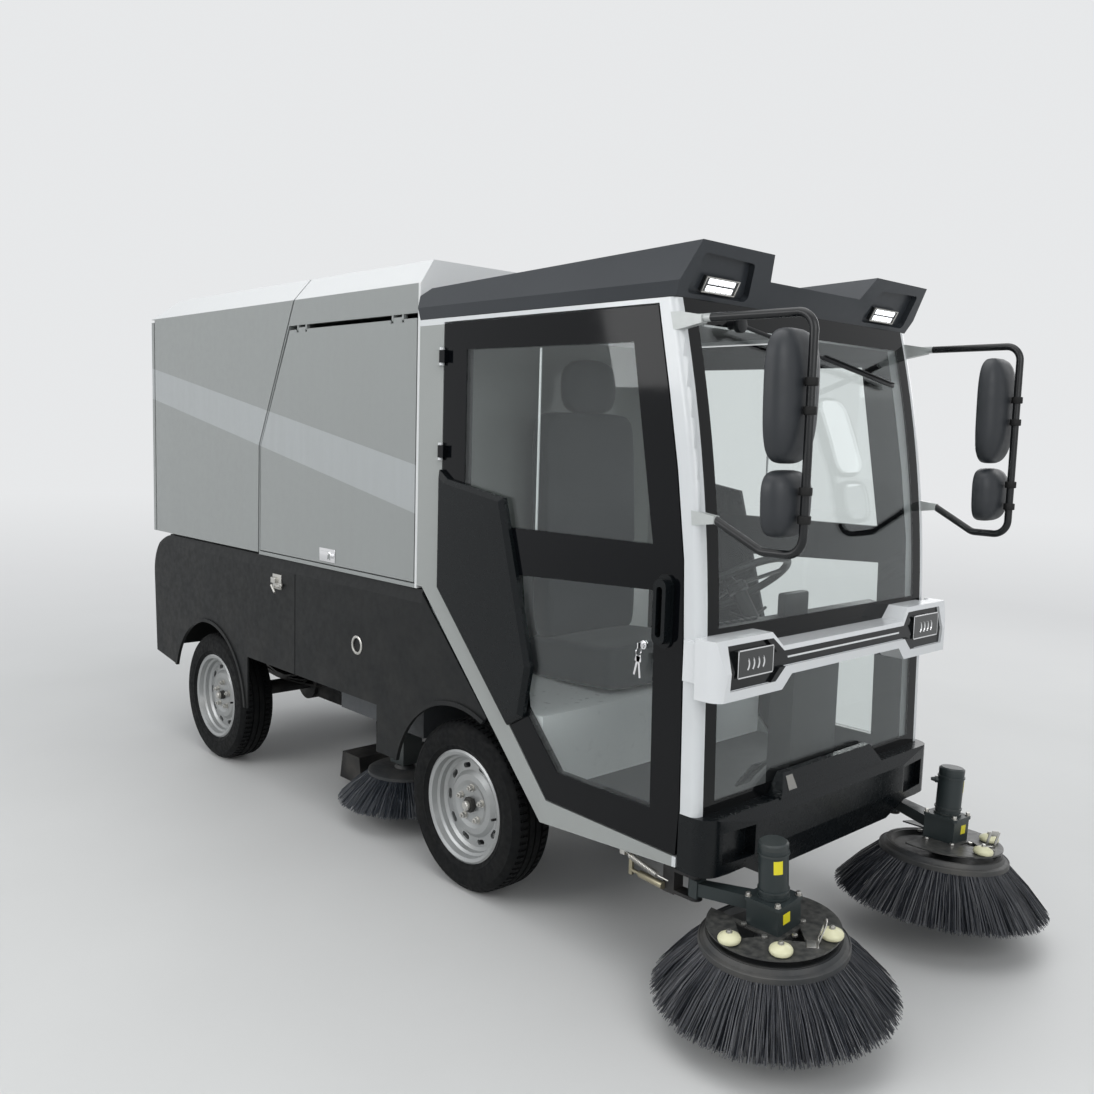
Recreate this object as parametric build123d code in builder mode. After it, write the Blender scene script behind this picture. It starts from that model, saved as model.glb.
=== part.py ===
from build123d import *
import os
from math import cos, radians, sin

# Compact road sweeper, all sizes in mm.
# x points forward, y to the machine's left, z up from the ground. The origin lies on the ground,
# in the middle of the length and of the width. Each right-hand piece is made first, on the -y side.

os.makedirs("parts", exist_ok=True)

# Body widths
BODY_HALF = 592
CONTAINER_INSET = 5
CONTAINER_HALF = BODY_HALF - CONTAINER_INSET
ROOF_SLOPE = 53
ROOF_HALF = CONTAINER_HALF - ROOF_SLOPE
THROUGH = 60

# Running gear
FRONT_AXLE_X = 470
WHEELBASE = 1860
REAR_AXLE_X = FRONT_AXLE_X - WHEELBASE
WHEEL_INSET = 103
TRACK_HALF = BODY_HALF - WHEEL_INSET
TYRE_R = 293
TYRE_HALF_WIDTH = 82.5
TREAD_HALF_WIDTH = 56
SEAT_R = 182
SEAT_HALF_WIDTH = 62
FLANGE_R = 194
STUB_R = 20
RUNNING_FIT = 0.3
HINGE_FIT = 0.6

# Frame rails and deck
RAIL_Y = 135
RAIL_WIDTH = 50
RAIL_BOTTOM = 330
RAIL_HEIGHT = 100
RAIL_TOP = RAIL_BOTTOM + RAIL_HEIGHT
RAIL_FRONT_X = 1400
RAIL_SETBACK = 30
OUTRIGGER_INSET = 52
DECK_BOTTOM = 955
DECK_THICK = 57
DECK_TOP = DECK_BOTTOM + DECK_THICK

# Container and hopper
TAIL_X = -2000
CONTAINER_BOTTOM = DECK_TOP + 8
WALL_HEIGHT = 1030
ROOF_RISE = 83
CONTAINER_SHOULDER = CONTAINER_BOTTOM + WALL_HEIGHT
CONTAINER_TOP = CONTAINER_SHOULDER + ROOF_RISE
SHELL = 12
BODY_GAP = 10
PANEL_GAP = 5
SKIRT_TOP = DECK_TOP - 2
SKIRT_PLATE = 8
SKIRT_RIM = 24
ARCH_R = 350
APRON_REAR_X = TAIL_X + 6
APRON_FRONT_X = APRON_REAR_X + 16

# Cab
CAB_REAR_X = 232
CONTAINER_FRONT_X = CAB_REAR_X - 7
CAB_WALL = 30
PILLAR_THICK = 32
PILLAR_ROUND = 22
GLASS = 6
DOOR_REAR_X = 370
DOOR_THICK = 28
DOOR_HINGE_Z = (1490, 1800)
DOOR_KNUCKLE_R = 9
FLOOR_TOP = 450
SHEET = 20

# Windscreen curve seen from the side, as (x, z): straight below the knee, one arc above it
SCREEN_FOOT = (1492, 560)
SCREEN_KNEE = (1480, 1050)
SCREEN_HEAD = (1349, 1925)
SCREEN_BULGE = 25
BUMPER_BOTTOM = 402
CAB_TOP = SCREEN_HEAD[1]
DOOR_TOP = CAB_TOP - 18

# Hopper tipping
PIVOT_X = TAIL_X + 45
PIVOT_Z = DECK_TOP - 20
PIVOT_Y = 300
CYLINDER_Y = 270
CYLINDER_BASE = (-1500, RAIL_TOP + 40)
CYLINDER_EYE = (-1600, CONTAINER_BOTTOM - 45)
BARREL_R = 28
ROD_R = 15
BARREL_LENGTH = 400
BARREL_FOOT = 24

# Front brooms
BROOM_X = 1669
BROOM_Y = BODY_HALF - 127
BROOM_Z = 259
BROOM_LEAN = 4.8
BROOM_DISC_R = 198
BROOM_TIP_R = 331
BRISTLE_DROP = 152
TUFTS = 28
SPINDLE_R = 12
ARM_PIVOT_X = 1455
ARM_PIVOT_Y = BODY_HALF - 62
ARM_Z = 345

# Mid brooms
MID_X = -205
MID_Z = 205
MID_TIP_R = 270
MID_Y = BODY_HALF - MID_TIP_R - 7
MID_DISC_R = 150
MID_DROP = 120
MID_TUFTS = 22


def side_plate(points, outer_y, thickness):
    """Plate with a side-view outline of (x, z) points; its outer face lies at y = -outer_y."""
    with BuildPart() as piece:
        with BuildSketch(Plane.XZ.offset(outer_y)):
            with BuildLine():
                Polyline(*points, close=True)
            make_face()
        extrude(amount=-thickness)
    return piece.part


def across(points, half_width):
    """Solid with a side-view outline of (x, z) points, from -half_width to half_width in y."""
    return side_plate(points, half_width, 2 * half_width)


def front_plate(points, rear_x, length):
    """Solid with a front-view outline of (y, z) points, running forward from rear_x."""
    with BuildPart() as piece:
        with BuildSketch(Plane.YZ.offset(rear_x)):
            with BuildLine():
                Polyline(*points, close=True)
            make_face()
        extrude(amount=length)
    return piece.part


def plan_plate(points, low_z, height, corners=(), corner_r=0):
    """Solid with a top-view outline of (x, y) points; the named corners are rounded."""
    with BuildPart() as piece:
        with BuildSketch(Plane.XY.offset(low_z)) as outline:
            with BuildLine():
                Polyline(*points, close=True)
            make_face()
            if corners:
                places = [Vector(*points[index], 0) for index in corners]
                picked = [vertex for vertex in outline.vertices()
                          if any((Vector(vertex.X, vertex.Y, 0) - place).length < 1 for place in places)]
                fillet(picked, corner_r)
        extrude(amount=height)
    return piece.part


def block(x_range, y_range, z_range):
    """Box between two x, two y and two z values."""
    with BuildPart() as piece:
        with BuildSketch(Plane.XY.offset(z_range[0])):
            with Locations(((x_range[0] + x_range[1]) / 2, (y_range[0] + y_range[1]) / 2)):
                Rectangle(x_range[1] - x_range[0], y_range[1] - y_range[0])
        extrude(amount=z_range[1] - z_range[0])
    return piece.part


def turned(points, plane):
    """Solid of (radius, height) points, turned about the normal of a plane."""
    with BuildPart() as piece:
        with BuildSketch(Plane(plane.origin, plane.x_dir, -plane.y_dir)):
            with BuildLine():
                Polyline(*points, close=True)
            make_face()
        revolve(axis=Axis(plane.origin, plane.z_dir))
    return piece.part


def spun(plane, angle):
    """The plane turned by an angle about its own normal."""
    step = radians(angle)
    x_dir = plane.x_dir * cos(step) + plane.y_dir * sin(step)
    return Plane(plane.origin, x_dir=x_dir, z_dir=plane.z_dir)


def shifted(plane, x, y, height=0):
    """The plane moved by its own x, y and normal."""
    origin = plane.origin + plane.x_dir * x + plane.y_dir * y + plane.z_dir * height
    return Plane(origin, x_dir=plane.x_dir, z_dir=plane.z_dir)


def rod_between(start, end, radius):
    """Round bar from one point to another."""
    run = Vector(*end) - Vector(*start)
    with BuildPart() as piece:
        with BuildSketch(Plane(start, z_dir=run)):
            Circle(radius)
        extrude(amount=run.length)
    return piece.part


def bent_tube(points, bend_radii, radius):
    """Round tube along straight runs joined by bends."""
    first_run = Vector(*points[1]) - Vector(*points[0])
    with BuildPart() as piece:
        with BuildLine() as path:
            FilletPolyline(*points, radius=bend_radii)
        with BuildSketch(Plane(points[0], z_dir=first_run)):
            Circle(radius)
        sweep(path=path.wires()[0])
    return piece.part


def merged(*solids):
    """One part of solids that touch or cross."""
    with BuildPart() as piece:
        for solid in solids:
            add(solid)
    return piece.part


def less(base, *cutters):
    """A part with others taken away from it."""
    with BuildPart() as piece:
        add(base)
        for cutter in cutters:
            add(cutter, mode=Mode.SUBTRACT)
    return piece.part


def common(base, *others):
    """What several parts share."""
    with BuildPart() as piece:
        add(base)
        for other in others:
            add(other, mode=Mode.INTERSECT)
    return piece.part


def other_side(part):
    """The left-hand twin of a right-hand part."""
    return part.mirror(Plane.XZ)


def both_sides(part):
    """A right-hand part with its left-hand twin."""
    return merged(part, other_side(part))


def save(part, name):
    """Label one sub-part and write it."""
    part.label = name
    export_step(part, "parts/" + name + ".step")


def save_pair(part, name):
    """Write a right-hand piece and its left-hand twin."""
    save(part, name + "_right")
    save(other_side(part), name + "_left")


def hinge(plane, pin_r, knuckle_r, length, back, front):
    """Pin hinge about the plane's z; x runs from the fixed side to the moving one.

    Returns the fixed half with its pin, and the moving knuckle."""
    ear = hinge_ear(length)
    reach = length / 2 + EAR_GAP + ear
    with BuildPart() as fixed:
        for height in (-reach, length / 2 + EAR_GAP):
            with BuildSketch(plane.offset(height)):
                Circle(knuckle_r)
                with Locations((-back / 2, 0)):
                    Rectangle(back, 2 * knuckle_r)
            extrude(amount=ear)
        with BuildSketch(plane.offset(-reach)):
            Circle(pin_r)
        extrude(amount=2 * reach)
    with BuildPart() as moving:
        with BuildSketch(plane.offset(-length / 2)):
            Circle(knuckle_r)
            with Locations((front / 2, 0)):
                Rectangle(front, 2 * knuckle_r)
            Circle(pin_r + HINGE_FIT, mode=Mode.SUBTRACT)
        extrude(amount=length)
    return fixed.part, moving.part


EAR_GAP = 1


def hinge_ear(length):
    """Width of each fixed ear beside a knuckle."""
    return 0.2 * length


def hinge_room(plane, knuckle_r, length):
    """Room that a hinge needs in the panel around it."""
    reach = length / 2 + EAR_GAP + hinge_ear(length) + PANEL_GAP
    with BuildPart() as room:
        with BuildSketch(plane.offset(-reach)):
            Rectangle(2 * (knuckle_r + PANEL_GAP), 4 * (knuckle_r + PANEL_GAP))
        extrude(amount=2 * reach)
    return room.part


def shaped(profile, section):
    """Solid that fills both a side-view outline and a front-view outline."""
    rear_x = min(x for x, z in profile) - 10
    front_x = max(x for x, z in profile) + 10
    return common(front_plate(section, rear_x, front_x - rear_x), across(profile, BODY_HALF + 100))


def behind_screen(setback):
    """All that lies behind the windscreen curve, moved back by a setback."""
    foot, knee, head = [(x - setback, z) for x, z in (SCREEN_FOOT, SCREEN_KNEE, SCREEN_HEAD)]
    chord = Vector(head[0] - knee[0], head[1] - knee[1])
    bulge = Vector(chord.Y, -chord.X).normalized() * SCREEN_BULGE
    middle = (knee[0] + chord.X / 2 + bulge.X, knee[1] + chord.Y / 2 + bulge.Y)
    low_z = BUMPER_BOTTOM - 100
    rear_x = CAB_REAR_X - 100
    with BuildPart() as piece:
        with BuildSketch(Plane.XZ.offset(BODY_HALF + 100)):
            with BuildLine():
                ThreePointArc(knee, middle, head)
                Polyline(head, (rear_x, head[1]), (rear_x, low_z), (foot[0], low_z), foot, knee)
            make_face()
        extrude(amount=-2 * (BODY_HALF + 100))
    return piece.part


# Tyres and rims, turned about the wheel's own axis
tyre_outline = [
    (SEAT_R, -SEAT_HALF_WIDTH),
    (SEAT_R, SEAT_HALF_WIDTH),
    (TYRE_R - 58, TYRE_HALF_WIDTH),
    (TYRE_R - 10, TYRE_HALF_WIDTH - 13),
    (TYRE_R, TREAD_HALF_WIDTH),
    (TYRE_R, -TREAD_HALF_WIDTH),
    (TYRE_R - 10, -TYRE_HALF_WIDTH + 13),
    (TYRE_R - 58, -TYRE_HALF_WIDTH),
]
HUB_FACE = 30
HUB_BACK = -18
DISC_BACK = 10
rim_outline = [
    (SEAT_R, -SEAT_HALF_WIDTH),
    (SEAT_R, SEAT_HALF_WIDTH),
    (FLANGE_R, 70),
    (FLANGE_R - 7, 74),
    (176, 69),
    (171, 50),
    (163, 44),
    (160, 28),
    (150, 20),
    (116, 22),
    (102, 34),
    (82, 36),
    (66, HUB_FACE),
    (STUB_R + RUNNING_FIT, HUB_FACE),
    (STUB_R + RUNNING_FIT, HUB_BACK),
    (50, HUB_BACK),
    (50, DISC_BACK),
    (96, DISC_BACK + 10),
    (110, DISC_BACK),
    (172, DISC_BACK),
    (172, -SEAT_HALF_WIDTH),
]
VENTS = 10
VENT_PITCH_R = 132
VENT_LENGTH = 38
VENT_WIDTH = 18
for name, axle_x in (("front", FRONT_AXLE_X), ("rear", REAR_AXLE_X)):
    wheel_plane = Plane((axle_x, -TRACK_HALF, TYRE_R), x_dir=(1, 0, 0), z_dir=(0, -1, 0))
    save_pair(turned(tyre_outline, wheel_plane), "tyre_" + name)
    with BuildPart() as rim:
        add(turned(rim_outline, wheel_plane))
        with BuildSketch(wheel_plane):
            with PolarLocations(VENT_PITCH_R, VENTS):
                SlotOverall(VENT_LENGTH, VENT_WIDTH, rotation=90)
        extrude(amount=HUB_FACE, mode=Mode.SUBTRACT)
    save_pair(rim.part, "rim_" + name)

# Front axle beam with kingpins and steering rack, and the knuckles that turn on the pins
wheel_z = TYRE_R
KINGPIN_Y = TRACK_HALF - 64
KINGPIN_R = 12
KINGPIN_HALF = 70
BEAM_HALF = 25
EYE_R = 26
RACK_X = FRONT_AXLE_X + 58
RACK_R = 17
RACK_FOOT_Y = 130
with BuildPart() as front_axle:
    add(block((FRONT_AXLE_X - BEAM_HALF, FRONT_AXLE_X + BEAM_HALF), (-KINGPIN_Y, KINGPIN_Y),
              (wheel_z - BEAM_HALF, wheel_z + BEAM_HALF)))
    for side in (-1, 1):
        with BuildSketch(Plane.XY.offset(wheel_z - BEAM_HALF)):
            with Locations((FRONT_AXLE_X, side * KINGPIN_Y)):
                Circle(EYE_R)
        extrude(amount=2 * BEAM_HALF)
        with BuildSketch(Plane.XY.offset(wheel_z - KINGPIN_HALF)):
            with Locations((FRONT_AXLE_X, side * KINGPIN_Y)):
                Circle(KINGPIN_R)
        extrude(amount=2 * KINGPIN_HALF)
        add(block((FRONT_AXLE_X + BEAM_HALF, RACK_X), (side * RACK_FOOT_Y - 12, side * RACK_FOOT_Y + 12),
                  (wheel_z - 12, wheel_z + 12)))
    add(rod_between((RACK_X, -240, wheel_z), (RACK_X, 240, wheel_z), RACK_R))
save(front_axle.part, "front_axle")

YOKE_GAP = 3
YOKE_THICK = 24
STUB_SHOULDER = 37
BACKPLATE_R = 115
BACKPLATE_THICK = 10
HUB_NUT_R = 27
yoke_half = BEAM_HALF + YOKE_GAP + YOKE_THICK
kingpin_plane = Plane((FRONT_AXLE_X, -KINGPIN_Y, wheel_z), x_dir=(0, -1, 0), z_dir=(0, 0, 1))
stub_plane = Plane((FRONT_AXLE_X, -KINGPIN_Y, wheel_z), x_dir=(1, 0, 0), z_dir=(0, -1, 0))
nut_start = TRACK_HALF + HUB_FACE - KINGPIN_Y + 3
with BuildPart() as knuckle:
    for low in (-yoke_half, BEAM_HALF + YOKE_GAP):
        with BuildSketch(kingpin_plane.offset(low)):
            Circle(EYE_R)
            with Locations((STUB_SHOULDER / 2, 0)):
                Rectangle(STUB_SHOULDER, 2 * EYE_R)
            Circle(KINGPIN_R + RUNNING_FIT, mode=Mode.SUBTRACT)
        extrude(amount=YOKE_THICK)
    with BuildSketch(stub_plane.offset(STUB_SHOULDER - 6)):
        Rectangle(2 * EYE_R, 2 * yoke_half)
    extrude(amount=8)
    with BuildSketch(stub_plane.offset(STUB_SHOULDER - 6)):
        Circle(BACKPLATE_R)
    extrude(amount=BACKPLATE_THICK)
    with BuildSketch(stub_plane.offset(STUB_SHOULDER)):
        Circle(STUB_R)
    extrude(amount=nut_start - STUB_SHOULDER + 10)
    with BuildSketch(stub_plane.offset(nut_start)):
        RegularPolygon(HUB_NUT_R, 6)
    extrude(amount=16)
save_pair(knuckle.part, "knuckle")

# Rear axle with its drive housing and brake backplates
AXLE_TUBE_R = 34
backplate_y = KINGPIN_Y + STUB_SHOULDER - 6
with BuildPart() as rear_axle:
    add(rod_between((REAR_AXLE_X, -backplate_y, wheel_z), (REAR_AXLE_X, backplate_y, wheel_z), AXLE_TUBE_R))
    add(rod_between((REAR_AXLE_X, -80, wheel_z), (REAR_AXLE_X, 80, wheel_z), 85))
    for side in (-1, 1):
        plate_start = (REAR_AXLE_X, side * backplate_y, wheel_z)
        plate_end = (REAR_AXLE_X, side * (backplate_y + BACKPLATE_THICK), wheel_z)
        hub_end = (REAR_AXLE_X, side * (TRACK_HALF + HUB_FACE + 14), wheel_z)
        add(rod_between(plate_start, plate_end, BACKPLATE_R))
        add(rod_between(plate_start, hub_end, STUB_R))
    add(block((REAR_AXLE_X + 60, REAR_AXLE_X + 300), (-70, 70), (wheel_z - 60, wheel_z + 60)))
save(rear_axle.part, "rear_axle")

# Leaf springs: a flat stack on each axle, hung from the rails at both ends
SPRING_Y = 195
SPRING_WIDTH = 50
LEAF_RISE = 22
LEAF_THICK = 9
LEAF_HALVES = (330, 240, 150)
LEAF_FLAT = 40
springs = []
spring_seats = ((FRONT_AXLE_X, wheel_z + BEAM_HALF), (REAR_AXLE_X, wheel_z + AXLE_TUBE_R))
for axle_x, seat_z in spring_seats:
    for row, half_length in enumerate(LEAF_HALVES):
        low = seat_z + row * LEAF_THICK
        high = low + LEAF_THICK
        outline = [
            (axle_x - half_length, low + LEAF_RISE),
            (axle_x - LEAF_FLAT, low),
            (axle_x + LEAF_FLAT, low),
            (axle_x + half_length, low + LEAF_RISE),
            (axle_x + half_length, high + LEAF_RISE),
            (axle_x + LEAF_FLAT, high),
            (axle_x - LEAF_FLAT, high),
            (axle_x - half_length, high + LEAF_RISE),
        ]
        springs.append(side_plate(outline, SPRING_Y + SPRING_WIDTH / 2, SPRING_WIDTH))
save(both_sides(merged(*springs)), "leaf_springs")

# Chassis frame: rails, cross members, spring hangers, arm brackets, cylinder foot and tow eye
rail_rear_x = TAIL_X + RAIL_SETBACK
rail_inner = RAIL_Y - RAIL_WIDTH / 2
rail_outer = RAIL_Y + RAIL_WIDTH / 2
outrigger_y = BODY_HALF - OUTRIGGER_INSET
frame_pieces = [block((rail_rear_x, RAIL_FRONT_X), (-rail_outer, -rail_inner), (RAIL_BOTTOM, RAIL_TOP))]
for member_x in (rail_rear_x + 55, -1040, -480, 150, 860, RAIL_FRONT_X - 30):
    frame_pieces.append(block((member_x - 20, member_x + 20), (-rail_inner, 0),
                              (RAIL_BOTTOM + 20, RAIL_TOP - 20)))
for axle_x, seat_z in spring_seats:
    for hanger_x in (axle_x - LEAF_HALVES[0] + 12, axle_x + LEAF_HALVES[0] - 12):
        frame_pieces.append(block((hanger_x - 14, hanger_x + 14), (-SPRING_Y - SPRING_WIDTH / 2, -rail_outer),
                                  (seat_z + LEAF_RISE + LEAF_THICK, RAIL_TOP - 10)))
for outrigger_x in (900, RAIL_FRONT_X - 60):
    frame_pieces.append(block((outrigger_x - 25, outrigger_x + 25), (-outrigger_y, -rail_outer),
                              (RAIL_TOP - 50, RAIL_TOP)))
arm_hinge_plane = Plane((ARM_PIVOT_X, -ARM_PIVOT_Y, ARM_Z), x_dir=(1, 0, 0), z_dir=(0, 0, 1))
arm_fixed, arm_moving = hinge(arm_hinge_plane, 10, 20, 50, 70, 20)
frame_pieces.append(arm_fixed)
frame_pieces.append(block((ARM_PIVOT_X - 100, ARM_PIVOT_X - 60), (-ARM_PIVOT_Y - 20, -ARM_PIVOT_Y + 20),
                          (ARM_Z - 40, RAIL_TOP)))
frame_pieces.append(block((ARM_PIVOT_X - 140, ARM_PIVOT_X - 60), (-ARM_PIVOT_Y - 20, -ARM_PIVOT_Y + 30),
                          (RAIL_TOP - 30, RAIL_TOP)))
cylinder_plane = Plane((CYLINDER_BASE[0], -CYLINDER_Y, CYLINDER_BASE[1]), x_dir=(0, 0, 1), z_dir=(0, 1, 0))
foot_fixed, foot_moving = hinge(cylinder_plane, 10, 18, 30, CYLINDER_BASE[1] - RAIL_TOP + 5, 32)
foot_shelf = block((CYLINDER_BASE[0] - 40, CYLINDER_BASE[0] + 40), (-CYLINDER_Y - 30, -rail_outer + 1),
                   (RAIL_TOP - 30, RAIL_TOP))
TOW_X = TAIL_X + 34
TOW_Z = RAIL_BOTTOM + 50
TOW_EYE_R = 30
TOW_BORE_R = 13
TOW_THICK = 20
with BuildPart() as tow_eye:
    with BuildSketch(Plane.XY.offset(TOW_Z - TOW_THICK / 2)):
        with Locations((TOW_X, 0)):
            Circle(TOW_EYE_R)
            with Locations((TOW_EYE_R, 0)):
                Rectangle(2 * TOW_EYE_R, 2 * TOW_EYE_R)
            Circle(TOW_BORE_R, mode=Mode.SUBTRACT)
    extrude(amount=TOW_THICK)
save(merged(both_sides(merged(*frame_pieces)), foot_shelf, foot_fixed, tow_eye.part), "chassis_frame")

# Deck frame: posts, beams and side rails under the container, with the hopper's pivots
skirt_inner = BODY_HALF - SKIRT_RIM
rail_deck_y = BODY_HALF - 92
apron_y = BODY_HALF - OUTRIGGER_INSET
deck_pieces = []
for post_x in (APRON_FRONT_X + 25, -860, 180):
    deck_pieces.append(block((post_x - 25, post_x + 25), (-rail_outer, -rail_inner),
                             (RAIL_TOP, DECK_BOTTOM)))
for beam_x in (-860, 180):
    deck_pieces.append(block((beam_x - 25, beam_x + 25), (-rail_deck_y, 0), (DECK_BOTTOM, DECK_TOP)))
deck_pieces.append(block((TAIL_X + 150, CAB_REAR_X - 27), (-skirt_inner, -rail_deck_y),
                         (DECK_BOTTOM, DECK_TOP)))
deck_pieces.append(block((APRON_FRONT_X, TAIL_X + 70), (-apron_y, 0), (DECK_BOTTOM - 50, DECK_BOTTOM)))
deck_pieces.append(block((APRON_FRONT_X, TAIL_X + 170), (-apron_y, -rail_deck_y),
                         (DECK_BOTTOM - 50, DECK_BOTTOM)))
pivot_plane = Plane((PIVOT_X, -PIVOT_Y, PIVOT_Z), x_dir=(0, 0, 1), z_dir=(0, 1, 0))
pivot_fixed, pivot_moving = hinge(pivot_plane, 10, 18, 60, PIVOT_Z - DECK_BOTTOM + 2,
                                  CONTAINER_BOTTOM - PIVOT_Z + 2)
deck_pieces.append(pivot_fixed)
save(both_sides(merged(*deck_pieces)), "deck_frame")

# Battery pack: one plain block behind the skirts
BATTERY_INSET = 122
battery_y = BODY_HALF - BATTERY_INSET
save(block((-440, 120), (-battery_y, battery_y), (RAIL_TOP, DECK_BOTTOM - 75)), "battery_pack")

# Tip cylinder: barrel on the frame, rod up to the hopper floor
barrel_run = Vector(CYLINDER_EYE[0] - CYLINDER_BASE[0], 0, CYLINDER_EYE[1] - CYLINDER_BASE[1])
barrel_plane = Plane((CYLINDER_BASE[0], -CYLINDER_Y, CYLINDER_BASE[1]), x_dir=(0, 1, 0), z_dir=barrel_run)
with BuildPart() as tip_barrel:
    with BuildSketch(barrel_plane.offset(BARREL_FOOT)):
        Circle(BARREL_R)
    extrude(amount=BARREL_LENGTH - BARREL_FOOT)
    with BuildSketch(barrel_plane.offset(BARREL_FOOT + 20)):
        Circle(ROD_R + RUNNING_FIT)
    extrude(amount=BARREL_LENGTH, mode=Mode.SUBTRACT)
    add(foot_moving)
save(tip_barrel.part, "tip_barrel")
EYE_THICK = 24
eye_plane = Plane((CYLINDER_EYE[0], -CYLINDER_Y - EYE_THICK / 2, CYLINDER_EYE[1]), x_dir=(1, 0, 0),
                  z_dir=(0, 1, 0))
with BuildPart() as tip_rod:
    with BuildSketch(barrel_plane.offset(BARREL_FOOT + 30)):
        Circle(ROD_R)
    extrude(amount=barrel_run.length - BARREL_FOOT - 30)
    with BuildSketch(eye_plane):
        Circle(20)
    extrude(amount=EYE_THICK)
save(tip_rod.part, "tip_rod")

# Container sections: the slanted joint between the front compartment and the hopper
JOINT_KNEE_Z = CONTAINER_BOTTOM + 453
joint_line = [(-922, CONTAINER_BOTTOM), (-913, JOINT_KNEE_Z), (-584, CONTAINER_TOP)]
cross_section = [
    (-CONTAINER_HALF, CONTAINER_BOTTOM - 10),
    (CONTAINER_HALF, CONTAINER_BOTTOM - 10),
    (CONTAINER_HALF, CONTAINER_SHOULDER),
    (ROOF_HALF, CONTAINER_TOP),
    (-ROOF_HALF, CONTAINER_TOP),
    (-CONTAINER_HALF, CONTAINER_SHOULDER),
]
inner_section = [
    (-CONTAINER_HALF + SHELL, CONTAINER_BOTTOM),
    (CONTAINER_HALF - SHELL, CONTAINER_BOTTOM),
    (CONTAINER_HALF - SHELL, CONTAINER_SHOULDER - SHELL),
    (ROOF_HALF - SHELL, CONTAINER_TOP - SHELL),
    (-ROOF_HALF + SHELL, CONTAINER_TOP - SHELL),
    (-CONTAINER_HALF + SHELL, CONTAINER_SHOULDER - SHELL),
]

# Front compartment, fixed, with an opening on each side for a hatch
front_joint = [(x + BODY_GAP, z) for x, z in joint_line]
front_low_z = CONTAINER_BOTTOM - 8
front_outer = [
    (front_joint[0][0], front_low_z),
    *front_joint[1:],
    (CONTAINER_FRONT_X, CONTAINER_TOP),
    (CONTAINER_FRONT_X, front_low_z),
]
front_inner = [
    (front_joint[0][0] + SHELL, CONTAINER_BOTTOM + SHELL),
    (front_joint[1][0] + SHELL, front_joint[1][1]),
    (front_joint[2][0] + SHELL - 6, CONTAINER_TOP - SHELL),
    (CONTAINER_FRONT_X - SHELL, CONTAINER_TOP - SHELL),
    (CONTAINER_FRONT_X - SHELL, CONTAINER_BOTTOM + SHELL),
]
HATCH_AXIS_Z = CONTAINER_SHOULDER - 113
HATCH_TOP = HATCH_AXIS_Z + 15
HATCH_THICK = 20
HATCH_INSET = 6
HATCH_HINGE_X = (-560, 90)
HATCH_KNUCKLE = (8, 50)
hatch_slant = (joint_line[2][0] - joint_line[1][0]) / (joint_line[2][1] - joint_line[1][1])
hatch_top_x = front_joint[1][0] + (HATCH_TOP - front_joint[1][1]) * hatch_slant
hatch_front_x = CONTAINER_FRONT_X - 14
hatch_hole = [
    (front_joint[0][0] + HATCH_INSET, CONTAINER_BOTTOM + HATCH_INSET),
    (front_joint[1][0] + HATCH_INSET, front_joint[1][1]),
    (hatch_top_x + HATCH_INSET, HATCH_TOP),
    (hatch_front_x, HATCH_TOP),
    (hatch_front_x, CONTAINER_BOTTOM + HATCH_INSET),
]
hatch_outline = [
    (hatch_hole[0][0] + PANEL_GAP, hatch_hole[0][1] + PANEL_GAP),
    (hatch_hole[1][0] + PANEL_GAP, hatch_hole[1][1]),
    (hatch_hole[2][0] + PANEL_GAP, HATCH_AXIS_Z - 2),
    (hatch_hole[3][0] - PANEL_GAP, HATCH_AXIS_Z - 2),
    (hatch_hole[4][0] - PANEL_GAP, hatch_hole[4][1] + PANEL_GAP),
]
hatch_cut = side_plate(hatch_hole, CONTAINER_HALF + 5, THROUGH)
container_front = less(shaped(front_outer, cross_section), shaped(front_inner, inner_section),
                       hatch_cut, other_side(hatch_cut))
hatch = side_plate(hatch_outline, CONTAINER_HALF, HATCH_THICK)
for hinge_x in HATCH_HINGE_X:
    hatch_plane = Plane((hinge_x, -CONTAINER_HALF + 9, HATCH_AXIS_Z), x_dir=(0, 0, -1), z_dir=(1, 0, 0))
    fixed_half, moving_half = hinge(hatch_plane, 4, *HATCH_KNUCKLE, 26, 24)
    room = hinge_room(hatch_plane, *HATCH_KNUCKLE)
    container_front = merged(less(container_front, room, other_side(room)), fixed_half, other_side(fixed_half))
    hatch = merged(less(hatch, room), moving_half)
save(container_front, "container_front")
save_pair(hatch, "side_hatch")

# Hopper: tips to the rear about its lower rear edge
HOPPER_REAR_X = TAIL_X + 35
GATE_TOP = CONTAINER_SHOULDER - 15
HIP_X = TAIL_X + 220
hopper_outer = [
    *joint_line,
    (HIP_X, CONTAINER_TOP),
    (TAIL_X, CONTAINER_SHOULDER),
    (TAIL_X, CONTAINER_SHOULDER - 1),
    (HOPPER_REAR_X, CONTAINER_SHOULDER - 1),
    (HOPPER_REAR_X, CONTAINER_BOTTOM),
]
hopper_inner = [
    (joint_line[0][0] - SHELL, CONTAINER_BOTTOM + SHELL),
    (joint_line[1][0] - SHELL, joint_line[1][1]),
    (joint_line[2][0] - SHELL - 6, CONTAINER_TOP - SHELL),
    (HIP_X, CONTAINER_TOP - SHELL),
    (HOPPER_REAR_X - 10, CONTAINER_SHOULDER - 6),
    (HOPPER_REAR_X - 10, CONTAINER_BOTTOM + SHELL),
]
PORT_X = -1080
PORT_R = 100
CHEEK_Y = (CYLINDER_Y + 28, CYLINDER_Y - 18)
port = Plane((PORT_X, 0, CONTAINER_BOTTOM - 10), z_dir=(0, 0, 1))
gate_hinge_plane = Plane((TAIL_X + 12, -380, GATE_TOP - 2), x_dir=(0, 0, -1), z_dir=(0, 1, 0))
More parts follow.
